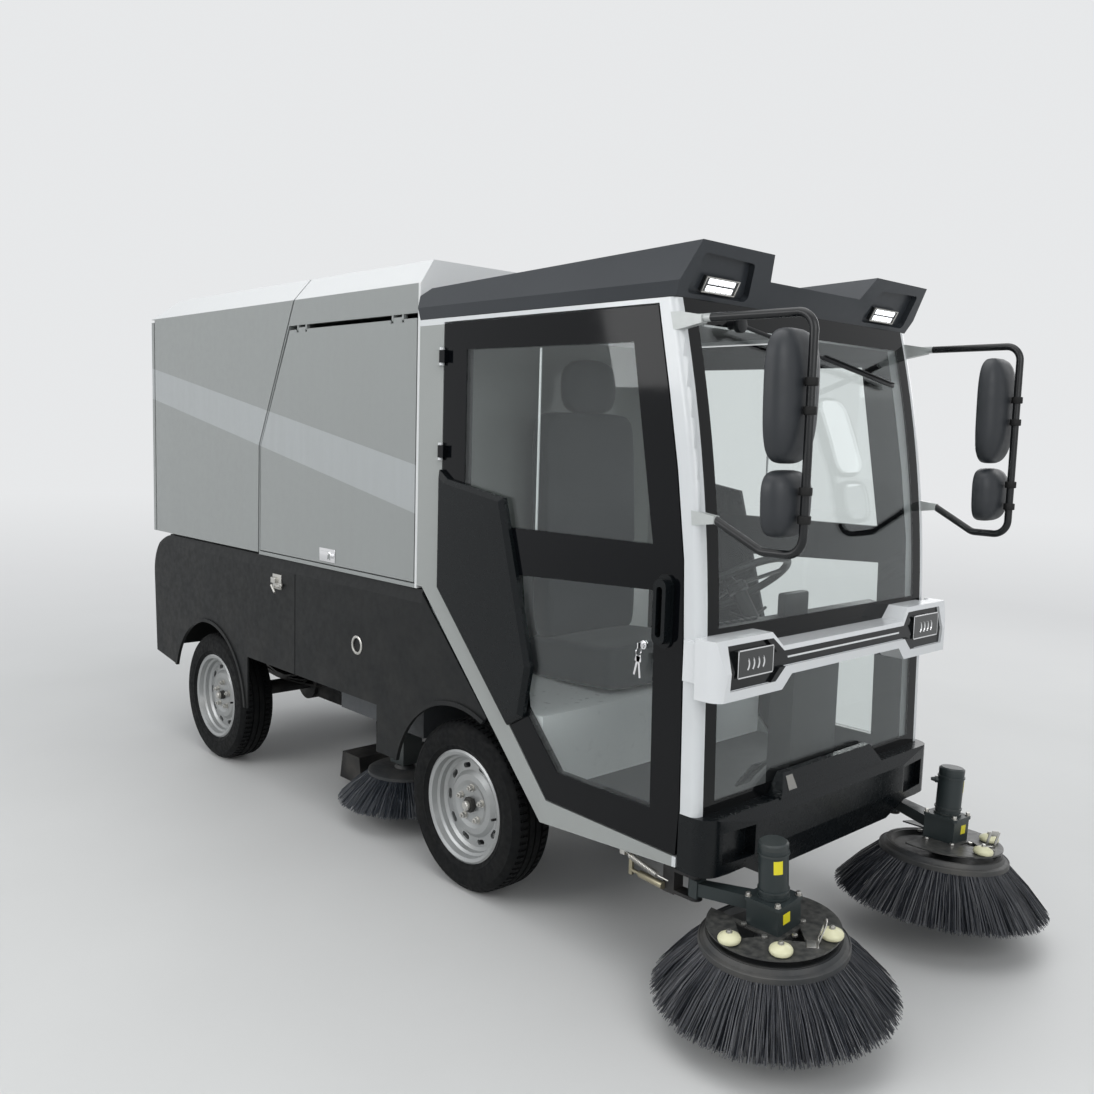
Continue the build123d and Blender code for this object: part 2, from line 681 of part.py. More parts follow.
gate_fixed, gate_moving = hinge(gate_hinge_plane, 4, 8, 60, 20, 24)
gate_room = hinge_room(gate_hinge_plane, 8, 60)
with BuildPart() as hopper_shell:
    add(less(shaped(hopper_outer, cross_section), shaped(hopper_inner, inner_section)))
    with BuildSketch(port):
        Circle(PORT_R)
    extrude(amount=40, mode=Mode.SUBTRACT)
    add(both_sides(pivot_moving))
    add(both_sides(gate_fixed))
    for cheek_y in CHEEK_Y:
        add(block((CYLINDER_EYE[0] - 25, CYLINDER_EYE[0] + 25), (-cheek_y, -cheek_y + 10),
                  (CYLINDER_EYE[1] - 20, CONTAINER_BOTTOM + 2)))
save(hopper_shell.part, "hopper_shell")

# Tailgate: a plate with two sunk panels
GATE_THICK = 25
GATE_BORDER = 70
gate = block((TAIL_X, TAIL_X + GATE_THICK), (-CONTAINER_HALF, CONTAINER_HALF), (CONTAINER_BOTTOM, GATE_TOP))
gate_middle = (CONTAINER_BOTTOM + GATE_TOP) / 2
gate_rows = ((CONTAINER_BOTTOM + GATE_BORDER, gate_middle - GATE_BORDER / 2),
             (gate_middle + GATE_BORDER / 2, GATE_TOP - GATE_BORDER))
panel_y = CONTAINER_HALF - GATE_BORDER
for gate_row in gate_rows:
    gate = less(gate, block((TAIL_X - 5, TAIL_X + 5), (-panel_y, panel_y), gate_row))
save(merged(less(gate, both_sides(gate_room)), both_sides(gate_moving)), "tailgate")

# Side skirts: a plate with a slanted top rim, round wheel arches with lips, a seam and a round recess
SILL_RUN = 371
SKIRT_FRONT_X = 253
SKIRT_TAIL_R = 190
skirt_outline = [
    (SKIRT_FRONT_X, SKIRT_TOP),
    (TAIL_X, SKIRT_TOP),
    (TAIL_X + 30, 418),
    (REAR_AXLE_X - ARCH_R, 385),
    (REAR_AXLE_X + ARCH_R - 8, 320),
    (-1010, 320),
    (-1010, 550),
    (-6, 550),
    (-6, 375),
    (400, 375),
    (SKIRT_FRONT_X + SILL_RUN, 641),
]
FACET_TALL = 49
FACET_DEEP = 14
LIP_OUT = 6
LIP_WIDE = 16


def skirt_plate(outer_y, thickness):
    """Skirt outline with its rounded rear top corner, at a depth."""
    with BuildPart() as piece:
        with BuildSketch(Plane.XZ.offset(outer_y)) as outline:
            with BuildLine():
                Polyline(*skirt_outline, close=True)
            make_face()
            fillet(outline.vertices().sort_by(Axis.X)[0], SKIRT_TAIL_R)
        extrude(amount=-thickness)
    return piece.part


rim_band = block((TAIL_X, SKIRT_FRONT_X), (-BODY_HALF, -BODY_HALF + SKIRT_RIM), (SKIRT_TOP - 60, SKIRT_TOP))
facet = front_plate([(-BODY_HALF - 1, SKIRT_TOP - FACET_TALL), (-BODY_HALF - 1, SKIRT_TOP + 1),
                     (-BODY_HALF + FACET_DEEP, SKIRT_TOP + 1)], TAIL_X - 10, SKIRT_FRONT_X - TAIL_X + 20)
skirt = merged(skirt_plate(BODY_HALF, SKIRT_PLATE), common(rim_band, skirt_plate(BODY_HALF, SKIRT_RIM)))
lip_band = skirt_plate(BODY_HALF + LIP_OUT, LIP_OUT + SKIRT_PLATE)
for axle_x in (REAR_AXLE_X, FRONT_AXLE_X):
    lip_disc = rod_between((axle_x, -BODY_HALF - 20, wheel_z), (axle_x, -BODY_HALF + 80, wheel_z), ARCH_R + LIP_WIDE)
    lip = common(lip_disc, lip_band)
    skirt = merged(skirt, lip)
for axle_x in (REAR_AXLE_X, FRONT_AXLE_X):
    arch = rod_between((axle_x, -BODY_HALF - 30, wheel_z), (axle_x, -BODY_HALF + 100, wheel_z), ARCH_R)
    skirt = less(skirt, arch)
SEAM_X = -600
SEAM_WIDE = 5
SEAM_DEEP = 4
RECESS_PLACE = (-140, 750)
RECESS_R = 35
seam = block((SEAM_X - SEAM_WIDE / 2, SEAM_X + SEAM_WIDE / 2), (-BODY_HALF - 1, -BODY_HALF + SEAM_DEEP),
             (540, SKIRT_TOP - FACET_TALL))
recess = rod_between((RECESS_PLACE[0], -BODY_HALF - 1, RECESS_PLACE[1]),
                     (RECESS_PLACE[0], -BODY_HALF + SEAM_DEEP, RECESS_PLACE[1]), RECESS_R)
save(both_sides(less(skirt, facet, seam, recess)), "side_skirts")

# Rear apron across the tail
save(block((APRON_REAR_X, APRON_FRONT_X), (-apron_y, apron_y), (RAIL_TOP, DECK_BOTTOM)), "rear_apron")

# Cab side frame: B-pillar, sill, A-pillar and roof rail around the door
wall_inner = BODY_HALF - PILLAR_THICK
door_outline = [
    (DOOR_REAR_X, DOOR_TOP),
    (DOOR_REAR_X, 1030),
    (742, 643),
    (916, 452),
    (1428, 440),
    (1435, 570),
    (1424, 1014),
    (1413, 1242),
    (1380, 1476),
    (1342, 1675),
    (1293, DOOR_TOP),
]
door_hole = [
    (DOOR_REAR_X - PANEL_GAP, DOOR_TOP + PANEL_GAP),
    (DOOR_REAR_X - PANEL_GAP, 1028),
    (738, 640),
    (914, 447),
    (1433, 435),
    (1440, 570),
    (1429, 1014),
    (1418, 1242),
    (1385, 1476),
    (1347, 1675),
    (1297, DOOR_TOP + PANEL_GAP),
]
side_outline = [
    (CAB_REAR_X, CAB_TOP),
    (CAB_REAR_X, 1024),
    (CAB_REAR_X + 29, 1024),
    (890, 372),
    (1431, BUMPER_BOTTOM + 5),
    (1431, SCREEN_FOOT[1]),
    (SCREEN_FOOT[0] + 20, SCREEN_FOOT[1]),
    (SCREEN_FOOT[0] + 20, CAB_TOP),
]
with BuildPart() as side_blank:
    add(common(side_plate(side_outline, BODY_HALF, PILLAR_THICK), behind_screen(0)))
    pillar_edges = [edge for edge in side_blank.edges()
                    if abs(edge.center().Y + BODY_HALF) < 0.1 and edge.center().X > SCREEN_HEAD[0] + 20
                    and edge.length > 300 and edge.center().Z > SCREEN_FOOT[1]]
    fillet(pillar_edges, PILLAR_ROUND)
side_frame = less(side_blank.part, side_plate(door_hole, BODY_HALF + 5, THROUGH))
door_hinges = []
for hinge_z in DOOR_HINGE_Z:
    door_plane = Plane((DOOR_REAR_X - 4, -BODY_HALF - DOOR_KNUCKLE_R, hinge_z), x_dir=(1, 0, 0), z_dir=(0, 0, 1))
    door_hinges.append(hinge(door_plane, 5, DOOR_KNUCKLE_R, 40, 26, 26))
for fixed_half, moving_half in door_hinges:
    side_frame = merged(side_frame, fixed_half)
rear_wall = block((CAB_REAR_X, CAB_REAR_X + CAB_WALL), (-wall_inner, wall_inner), (1024, CAB_TOP))
header_blank = block((SCREEN_HEAD[0] - 45, SCREEN_HEAD[0] + 20), (-wall_inner, wall_inner), (CAB_TOP - 60, CAB_TOP))
header = common(header_blank, behind_screen(GLASS))
save(merged(both_sides(side_frame), rear_wall, header), "cab_frame")

# Cab floor with the seat box over the front axle
BOX_FRONT_X = 858
SEAT_BOX_TOP = FLOOR_TOP + 240
floor_front_x = SCREEN_FOOT[0] - 12
floor_rear = block((BOX_FRONT_X - 5, 1430), (-wall_inner, wall_inner), (FLOOR_TOP - SHEET, FLOOR_TOP))
floor_nose = block((1425, floor_front_x), (25 - wall_inner, wall_inner - 25), (FLOOR_TOP - SHEET, FLOOR_TOP))
floor_pan = merged(floor_rear, floor_nose)
seat_box_outline = [
    (CAB_REAR_X + CAB_WALL, 1024),
    (CAB_REAR_X + CAB_WALL, SEAT_BOX_TOP - SHEET),
    (BOX_FRONT_X - SHEET, SEAT_BOX_TOP - SHEET),
    (BOX_FRONT_X - SHEET, FLOOR_TOP - SHEET),
    (BOX_FRONT_X, FLOOR_TOP - SHEET),
    (BOX_FRONT_X, SEAT_BOX_TOP),
    (CAB_REAR_X + CAB_WALL + SHEET, SEAT_BOX_TOP),
    (CAB_REAR_X + CAB_WALL + SHEET, 1024),
]
save(merged(floor_pan, across(seat_box_outline, wall_inner)), "cab_floor")

# Cab roof: ridged sides, a valley that opens forward, and two visors with sunk faces
ROOF_RIDGE_Z = CAB_TOP + 40
VISOR_LEAN = 76
VISOR_TALL = 139
VALLEY_FLOOR_HALF = 228
VALLEY_TOP_HALF = 290
VALLEY_LIP_Z = CAB_TOP + 64
roof_rear_x = CAB_REAR_X - 4
roof_outline = [
    (roof_rear_x, CAB_TOP),
    (SCREEN_HEAD[0], CAB_TOP),
    (SCREEN_HEAD[0] + VISOR_LEAN, CAB_TOP + VISOR_TALL),
    (roof_rear_x + 59, CAB_TOP + 102),
    (roof_rear_x, CAB_TOP + 80),
]
roof_section = [
    (-BODY_HALF + 4, CAB_TOP),
    (BODY_HALF - 4, CAB_TOP),
    (BODY_HALF + 8, ROOF_RIDGE_Z),
    (BODY_HALF - 16, CAB_TOP + VISOR_TALL + 6),
    (-BODY_HALF + 16, CAB_TOP + VISOR_TALL + 6),
    (-BODY_HALF - 8, ROOF_RIDGE_Z),
]
valley_profile = [
    (900, CAB_TOP + VISOR_TALL - 6),
    (SCREEN_HEAD[0] + 110, VALLEY_LIP_Z),
    (SCREEN_HEAD[0] + 110, CAB_TOP + VISOR_TALL + 40),
    (900, CAB_TOP + VISOR_TALL + 40),
]
valley_section = [
    (-VALLEY_FLOOR_HALF, VALLEY_LIP_Z - 20),
    (VALLEY_FLOOR_HALF, VALLEY_LIP_Z - 20),
    (VALLEY_FLOOR_HALF, VALLEY_LIP_Z),
    (VALLEY_TOP_HALF, CAB_TOP + VISOR_TALL + 40),
    (-VALLEY_TOP_HALF, CAB_TOP + VISOR_TALL + 40),
    (-VALLEY_FLOOR_HALF, VALLEY_LIP_Z),
]
face_up = Vector(VISOR_LEAN, 0, VISOR_TALL).normalized()
visor_plane = Plane((SCREEN_HEAD[0], 0, CAB_TOP), x_dir=(0, 1, 0), z_dir=(face_up.Z, 0, -face_up.X))
VISOR_RECESS = 20
LAMP_CENTRE = (-423, 43)
LAMP_SIZE = (140, 42)
LAMP_THICK = 12
recess_outline = [(-556, 14), (-292, 14), (-332, 122), (-548, 128)]
with BuildPart() as visor_recess:
    with BuildSketch(visor_plane.offset(-VISOR_RECESS)) as recess_sketch:
        with BuildLine():
            Polyline(*recess_outline, close=True)
        make_face()
        fillet(recess_sketch.vertices(), 16)
    extrude(amount=2 * VISOR_RECESS)
roof_body = less(shaped(roof_outline, roof_section), shaped(valley_profile, valley_section))
save(less(roof_body, both_sides(visor_recess.part)), "cab_roof")

# Windscreen: upper and lower pane between the pillars
BAR_BOTTOM = 885
BAR_TOP = 1045
BAR_STEP = 40
screen_half = wall_inner - 1


def screen_pane(low_z, high_z):
    """Bent pane across the cab between two heights."""
    band = block((CAB_REAR_X, SCREEN_FOOT[0] + 50), (-screen_half, screen_half), (low_z, high_z))
    return less(common(band, behind_screen(0)), behind_screen(GLASS))


save(merged(screen_pane(BAR_TOP - BAR_STEP - 15, CAB_TOP), screen_pane(SCREEN_FOOT[1], BAR_BOTTOM + BAR_STEP + 5)),
     "windscreen")

# Light bar: a moulding across the front, taller at the head lamps, with a sunk black face
BAR_HALF = BODY_HALF + 18
BAR_ROUND = 45
BAR_NOSE_X = SCREEN_FOOT[0] + 74
INSERT_HALF = BAR_HALF - 48
INSERT_DEEP = 8


def stepped(half_width, low_z, high_z, step, low_y, high_y):
    """Front outline of a bar that is taller at both ends; its corners slant over a step."""
    return [
        (-half_width, high_z), (-half_width, low_z), (-low_y - step, low_z), (-low_y, low_z + step),
        (low_y, low_z + step), (low_y + step, low_z), (half_width, low_z), (half_width, high_z),
        (high_y + step, high_z), (high_y, high_z - step), (-high_y, high_z - step), (-high_y - step, high_z),
    ]


def bar_core(setback):
    """Side section of the light bar, its nose moved back by a setback."""
    nose = BAR_NOSE_X - setback
    return across([(CAB_REAR_X, BAR_BOTTOM), (nose - 4, BAR_BOTTOM), (nose, BAR_BOTTOM + 75),
                   (nose - 20, BAR_TOP), (CAB_REAR_X, BAR_TOP)], BAR_HALF)


bar_front = front_plate(stepped(BAR_HALF, BAR_BOTTOM, BAR_TOP, BAR_STEP, 288, 322), 1400, 300)
bar_corners = [(1437, -BAR_HALF), (BAR_NOSE_X + 1, -BAR_HALF), (BAR_NOSE_X + 1, BAR_HALF), (1437, BAR_HALF)]
bar_plan = plan_plate(bar_corners, BAR_BOTTOM, BAR_TOP - BAR_BOTTOM, (1, 2), BAR_ROUND)
insert_front = stepped(INSERT_HALF, BAR_BOTTOM + 27, BAR_TOP - 15, BAR_STEP - 2, 350, 354)
insert_prism = front_plate(insert_front, 1400, 300)
insert_cut = less(insert_prism, bar_core(INSERT_DEEP))
bar = less(common(bar_front, bar_core(0), bar_plan), behind_screen(0), insert_cut)
SIDE_BLOCK_X = (1438, 1500)
bar_end_block = block(SIDE_BLOCK_X, (-BODY_HALF - 12, -BODY_HALF), (BAR_BOTTOM + 40, BAR_TOP - 12))
side_clear = side_plate([(1430, BAR_BOTTOM), (1500, BAR_BOTTOM), (1500, BAR_TOP), (1430, BAR_TOP)],
                        BODY_HALF, THROUGH)
bar = less(bar, common(side_clear, behind_screen(0)), other_side(side_clear))
save(merged(bar, both_sides(bar_end_block)), "light_bar")

# Lamps: head lamps in the bar, work lamps under the visors and tail lamps on the apron
HEAD_LAMP_Y = 455
HEAD_LAMP_Z = (945, 1013)
head_lamp = less(block((1530, BAR_NOSE_X - 2), (-HEAD_LAMP_Y - 74, -HEAD_LAMP_Y + 74), HEAD_LAMP_Z),
                 bar_core(INSERT_DEEP))
with BuildPart() as work_lamp:
    with BuildSketch(visor_plane.offset(-VISOR_RECESS)):
        with Locations(LAMP_CENTRE):
            Rectangle(*LAMP_SIZE)
    extrude(amount=LAMP_THICK)
TAIL_LAMP_Y = BODY_HALF - 117
tail_lamp = block((TAIL_X, APRON_REAR_X), (-TAIL_LAMP_Y - 45, -TAIL_LAMP_Y + 45), (740, 920))
save(both_sides(merged(head_lamp, work_lamp.part, tail_lamp)), "lamps")

# Front bumper: wrap-round moulding with a lower lip, a raised pad and sunk corners
BUMPER_NOSE_X = SCREEN_FOOT[0] + 60
LIP_BOTTOM = BUMPER_BOTTOM - 47
bumper_top = SCREEN_FOOT[1]
bumper_plan = [
    (1436, -BODY_HALF),
    (BUMPER_NOSE_X - 18, -BODY_HALF),
    (BUMPER_NOSE_X, -BODY_HALF + 200),
    (BUMPER_NOSE_X, BODY_HALF - 200),
    (BUMPER_NOSE_X - 18, BODY_HALF),
    (1436, BODY_HALF),
    (1436, BODY_HALF - 32),
    (1482, BODY_HALF - 52),
    (1482, -BODY_HALF + 52),
    (1436, -BODY_HALF + 32),
]
bumper_front = [
    (-BODY_HALF, BUMPER_BOTTOM),
    (-BODY_HALF, bumper_top),
    (BODY_HALF, bumper_top),
    (BODY_HALF, BUMPER_BOTTOM),
    (430, BUMPER_BOTTOM),
    (340, LIP_BOTTOM),
    (-340, LIP_BOTTOM),
    (-430, BUMPER_BOTTOM),
]
bumper_side = [
    (1430, LIP_BOTTOM),
    (BUMPER_NOSE_X - 22, LIP_BOTTOM),
    (BUMPER_NOSE_X, BUMPER_BOTTOM + 40),
    (BUMPER_NOSE_X, bumper_top - 34),
    (BUMPER_NOSE_X - 16, bumper_top),
    (1430, bumper_top),
]
PAD_TALL = 58
PAD_HALF = 275
pad_front = [(-PAD_HALF, bumper_top - 4), (-PAD_HALF + 42, bumper_top + PAD_TALL),
             (PAD_HALF - 42, bumper_top + PAD_TALL), (PAD_HALF, bumper_top - 4)]
pad_side = [(SCREEN_FOOT[0] + 2, bumper_top - 4), (BUMPER_NOSE_X - 10, bumper_top - 4),
            (BUMPER_NOSE_X - 14, bumper_top + 12), (BUMPER_NOSE_X - 36, bumper_top + PAD_TALL),
            (SCREEN_FOOT[0] + 2, bumper_top + PAD_TALL)]
bumper_body = common(plan_plate(bumper_plan, LIP_BOTTOM, bumper_top - LIP_BOTTOM, (1, 4), 55),
                     front_plate(bumper_front, 1430, 150), across(bumper_side, BODY_HALF))
pad = common(front_plate(pad_front, 1430, 150), across(pad_side, PAD_HALF))
corner_recess = block((BUMPER_NOSE_X - 34, BUMPER_NOSE_X + 50), (-BODY_HALF + 62, -BODY_HALF + 192),
                      (BUMPER_BOTTOM + 30, bumper_top - 42))
save(less(merged(bumper_body, pad), both_sides(corner_recess)), "front_bumper")

# Seat with head rest
SEAT_Y = 20
SEAT_CLEAR = 0.3
cushion_outline = [
    (380, SEAT_BOX_TOP + SEAT_CLEAR),
    (820, SEAT_BOX_TOP + SEAT_CLEAR),
    (845, SEAT_BOX_TOP + 100),
    (830, SEAT_BOX_TOP + 160),
    (380, SEAT_BOX_TOP + 130),
]
back_outline = [(380, 760), (490, 800), (452, 1640), (352, 1640)]
rest_outline = [(385, 1630), (430, 1630), (480, 1660), (478, 1815), (455, 1832), (400, 1832), (378, 1810)]
cushion = side_plate(cushion_outline, 240 - SEAT_Y, 480)
back_rest = side_plate(back_outline, 230 - SEAT_Y, 460)
head_rest = side_plate(rest_outline, 125 - SEAT_Y, 250)
save(merged(cushion, back_rest, head_rest), "driver_seat")

# Dashboard with the steering column
DASH_TOP = 1010
dash = across([(1300, DASH_TOP - 70), (1470, DASH_TOP - 70), (1470, DASH_TOP), (1330, DASH_TOP + 20)],
              wall_inner - 60)
dash_leg = block((1380, 1460), (-120, 120), (FLOOR_TOP, DASH_TOP - 70))
WHEEL_CENTRE = (1130, SEAT_Y, 1090)
COLUMN_RAKE = 35
column_dir = Vector(-sin(radians(COLUMN_RAKE)), 0, cos(radians(COLUMN_RAKE)))
column_top = Vector(*WHEEL_CENTRE)
column_start = column_top - column_dir * 220
column = rod_between(tuple(column_start), tuple(column_top - column_dir * 30), 24)
column_spindle = rod_between(tuple(column_start), tuple(column_top - column_dir * 6), 10)
column_arm = rod_between((column_start.X, SEAT_Y, column_start.Z + 20), (1400, SEAT_Y, DASH_TOP - 50), 30)
save(merged(dash, dash_leg, column, column_spindle, column_arm), "dashboard")

steer_plane = Plane(tuple(column_top), x_dir=(0, 1, 0), z_dir=tuple(column_dir))
RING_R = 180
RING_THICK = 13
SPOKES = 3
ring = turned([(RING_R - RING_THICK, 0), (RING_R, -RING_THICK), (RING_R + RING_THICK, 0), (RING_R, RING_THICK)],
              steer_plane)
with BuildPart() as steering_wheel:
    add(ring)
    with BuildSketch(steer_plane.offset(-24)):
        Circle(34)
        Circle(10 + RUNNING_FIT, mode=Mode.SUBTRACT)
    extrude(amount=18)
    with BuildSketch(steer_plane.offset(-6)):
        Circle(34)
    extrude(amount=12)
    for spoke in range(SPOKES):
        with BuildSketch(spun(steer_plane, 90 + 360 * spoke / SPOKES).offset(-5)):
            with Locations((RING_R / 2 + 10, 0)):
                Rectangle(RING_R - 26, 26)
        extrude(amount=9)
save(steering_wheel.part, "steering_wheel")

# Doors: framed glass panel, its two panes, the black outer cladding and the pull handle
upper_window = [(487, 1819), (1211, 1814), (1307, 1273), (487, 1265)]
lower_window = [(752, 1123), (1319, 1149), (1332, 547), (960, 547), (803, 714)]
PANE_SINK = 2
door_panel = side_plate(door_outline, BODY_HALF, DOOR_THICK)
door_frame = less(door_panel, side_plate(upper_window, BODY_HALF + 5, THROUGH),
                  side_plate(lower_window, BODY_HALF + 5, THROUGH))
for fixed_half, moving_half in door_hinges:
    door_frame = merged(door_frame, moving_half)
save_pair(door_frame, "door_frame")
pane_y = BODY_HALF - PANE_SINK
save_pair(merged(side_plate(upper_window, pane_y, GLASS), side_plate(lower_window, pane_y, GLASS)), "door_glass")
CLADDING_OUT = 28
CLADDING_BEVEL = 14
cladding_outline = [(DOOR_REAR_X, 1430), (414, 1401), (700, 1358), (845, 850), (814, 688), (742, 646),
                    (DOOR_REAR_X, 1034)]
HANDLE_PLACE = (1362, 1098)
HANDLE_SIZE = (52, 200)
HANDLE_OUT = 30
handle_plane = Plane((HANDLE_PLACE[0], -BODY_HALF, HANDLE_PLACE[1]), x_dir=(1, 0, 0), z_dir=(0, -1, 0))
with BuildPart() as cladding:
    add(side_plate(cladding_outline, BODY_HALF + CLADDING_OUT, CLADDING_OUT))
    chamfer(cladding.faces().sort_by(Axis.Y)[0].edges(), CLADDING_BEVEL)
with BuildPart() as handle:
    with BuildSketch(handle_plane):
        RectangleRounded(*HANDLE_SIZE, 24)
    extrude(amount=8)
    with BuildSketch(handle_plane.offset(8)):
        RectangleRounded(HANDLE_SIZE[0] - 8, HANDLE_SIZE[1] - 24, 20)
        RectangleRounded(HANDLE_SIZE[0] - 32, HANDLE_SIZE[1] - 64, 9, mode=Mode.SUBTRACT)
    extrude(amount=HANDLE_OUT - 8)
save_pair(merged(cladding.part, handle.part), "door_cladding")

# Mirrors: C-shaped arms from two brackets on each pillar, a large and a small head
MIRROR_TUBE_R = 11
MIRROR_X = 1755
MIRROR_Y = BODY_HALF - 32
ARM_ROOT_Y = BODY_HALF - 12
ARM_TOP_Z = 1866
ARM_LOW_Z = 1356
ARM_FOOT_Z = 1285
arm_points = [(1405, -ARM_ROOT_Y, ARM_TOP_Z), (MIRROR_X, -MIRROR_Y, ARM_TOP_Z), (MIRROR_X, -MIRROR_Y, ARM_FOOT_Z),
              (1640, -MIRROR_Y - 5, ARM_FOOT_Z), (1500, -ARM_ROOT_Y, ARM_LOW_Z), (1478, -ARM_ROOT_Y, ARM_LOW_Z)]
mirror_arm = bent_tube(arm_points, [45, 45, 45, 30], MIRROR_TUBE_R)


def pillar_bracket(low_z, high_z, tip_x):
    """Bracket that stands forward from the pillar and hugs its rounded edge."""
    middle = (low_z + high_z) / 2
    outline = [(tip_x - 120, low_z), (tip_x - 120, high_z), (tip_x - 75, high_z), (tip_x, middle + 10),
               (tip_x, middle - 10), (tip_x - 75, low_z)]
    return less(side_plate(outline, BODY_HALF, 24), side_blank.part)


bracket_top = pillar_bracket(ARM_TOP_Z - 26, ARM_TOP_Z + 20, 1440)
bracket_bottom = pillar_bracket(ARM_LOW_Z - 22, ARM_LOW_Z + 18, 1508)
save(both_sides(merged(mirror_arm, bracket_top, bracket_bottom)), "mirror_arms")

HEAD_BACK_X = MIRROR_X - 80
HEAD_RIM = 14
HEAD_DEEP = 62
HEAD_CORNER = 62
CROWN_INSET = (38, 50)
head_rows = [
    # lowest and highest z, outer and inner y
    (1505, 1830, -BODY_HALF - 53, -BODY_HALF + 137),
    (1325, 1490, -BODY_HALF - 43, -BODY_HALF + 127),
]
heads = []
for low_z, high_z, outer_y, inner_y in head_rows:
    width = inner_y - outer_y
    height = high_z - low_z
    middle = ((outer_y + inner_y) / 2, (low_z + high_z) / 2)
    with BuildPart() as head:
        with BuildSketch(Plane.YZ.offset(HEAD_BACK_X)):
            with Locations(middle):
                RectangleRounded(width, height, HEAD_CORNER)
        extrude(amount=HEAD_RIM)
        with BuildSketch(Plane.YZ.offset(HEAD_BACK_X + HEAD_RIM)):
            with Locations(middle):
                RectangleRounded(width, height, HEAD_CORNER)
        with BuildSketch(Plane.YZ.offset(HEAD_BACK_X + HEAD_DEEP)):
            with Locations(middle):
                RectangleRounded(width - 2 * CROWN_INSET[0], height - 2 * CROWN_INSET[1], 25)
        loft(ruled=True)
        with BuildSketch(Plane.XY.offset(middle[1] - 45)):
            with Locations((MIRROR_X - 10, -MIRROR_Y)):
                Rectangle(48, 36)
            with Locations((MIRROR_X, -MIRROR_Y)):
                Circle(MIRROR_TUBE_R, mode=Mode.SUBTRACT)
        extrude(amount=90)
    heads.append(head.part)
save(both_sides(merged(*heads)), "mirror_heads")

# Wiper: spindle boss on the screen, arm and blade
WIPER_PIVOT = (1402, -378, 1867)
WIPER_TIP = (1414, 289, 1761)
wiper_boss = less(rod_between((1340, WIPER_PIVOT[1], WIPER_PIVOT[2]), WIPER_PIVOT, 12), behind_screen(0))
wiper_arm = rod_between(WIPER_PIVOT, WIPER_TIP, 6)
save(merged(wiper_boss, wiper_arm), "wiper")

# Front broom, right side, on its own leaning plane
lean = radians(BROOM_LEAN)
broom_plane = Plane((BROOM_X, -BROOM_Y, BROOM_Z), x_dir=(1, 0, 0), z_dir=(0, -sin(lean), cos(lean)))
disc_outline = [
    (SPINDLE_R + RUNNING_FIT, -10),
    (SPINDLE_R + RUNNING_FIT, 22),
    (40, 22),
    (50, 0),
    (150, 0),
    (162, 14),
    (178, 16),
    (184, 4),
    (BROOM_DISC_R, 0),
    (BROOM_DISC_R, -14),
    (150, -14),
    (140, -10),
]
save_pair(turned(disc_outline, broom_plane), "broom_disc")


def tufts(plane, count, root_r, root_size, root_z, tip_r, tip_size, tip_z):
    """Ring of splayed bristle bundles that hang from a disc; sizes are (radial, tangential)."""
    bundles = []
    for index in range(count):
        turned_plane = spun(plane, 360 * index / count)
        with BuildPart() as bundle:
            with BuildSketch(turned_plane.offset(root_z)):
                with Locations((root_r, 0)):
                    Rectangle(*root_size)
            with BuildSketch(turned_plane.offset(tip_z)):
                with Locations((tip_r, 0)):
                    Rectangle(*tip_size)
            loft(ruled=True)
        bundles.append(bundle.part)
    return merged(*bundles)


bristles = tufts(broom_plane, TUFTS, BROOM_DISC_R - 22, (36, 34), -14, BROOM_TIP_R - 18, (32, 66), -BRISTLE_DROP)
save_pair(bristles, "broom_bristles")

# Broom arm: gear motor on a guard plate, carried by a swinging arm
GEARBOX_HALF = 50
GEARBOX_TALL = 80
FLANGE_HALF = 56
FLANGE_THICK = 10
MOTOR_R = 39
MOTOR_TALL = 148
GUARD_Z = 36
GUARD_R = 176
GUARD_THICK = 5
guard_windows = [
    [(-78, -62), (22, -62), (-18, -118)],
    [(62, -52), (62, 30), (112, -18)],
]
arm_plan = [(ARM_PIVOT_X + 12, -ARM_PIVOT_Y - 18), (BROOM_X - 40, -BROOM_Y - 30), (BROOM_X - 40, -BROOM_Y + 30),
            (ARM_PIVOT_X + 12, -ARM_PIVOT_Y + 18)]
box_plane = broom_plane.offset(GUARD_Z + GUARD_THICK)
with BuildPart() as broom_arm:
    with BuildSketch(box_plane):
        Rectangle(2 * GEARBOX_HALF, 2 * GEARBOX_HALF)
    extrude(amount=GEARBOX_TALL)
    with BuildSketch(box_plane.offset(GEARBOX_TALL - FLANGE_THICK)):
        RectangleRounded(2 * FLANGE_HALF, 2 * FLANGE_HALF, 12)
    extrude(amount=FLANGE_THICK)
    with BuildSketch(box_plane.offset(GEARBOX_TALL)):
        Circle(MOTOR_R)
    extrude(amount=MOTOR_TALL)
    with BuildSketch(broom_plane.offset(-6)):
        Circle(SPINDLE_R)
    extrude(amount=GUARD_Z + GUARD_THICK + 19)
    with BuildSketch(broom_plane.offset(GUARD_Z)):
        Circle(GUARD_R)
        with Locations((-130, 70)):
            Rectangle(170, 230, mode=Mode.SUBTRACT)
        for window in guard_windows:
            with BuildLine():
                Polyline(*window, close=True)
            make_face(mode=Mode.SUBTRACT)
    extrude(amount=GUARD_THICK)
    with BuildSketch(Plane.XY.offset(ARM_Z - 18)):
        with BuildLine():
            Polyline(*arm_plan, close=True)
        make_face()
    extrude(amount=36)
    add(arm_moving)
save_pair(broom_arm.part, "broom_arm")

roller_outline = [(0, 0), (20, 0), (22, 15), (13, 24), (0, 26)]
roller_places = [(-29, -150), (97, -105), (147, 46)]
rollers = [turned(roller_outline, shifted(box_plane, x, y)) for x, y in roller_places]
save_pair(merged(*rollers), "broom_rollers")

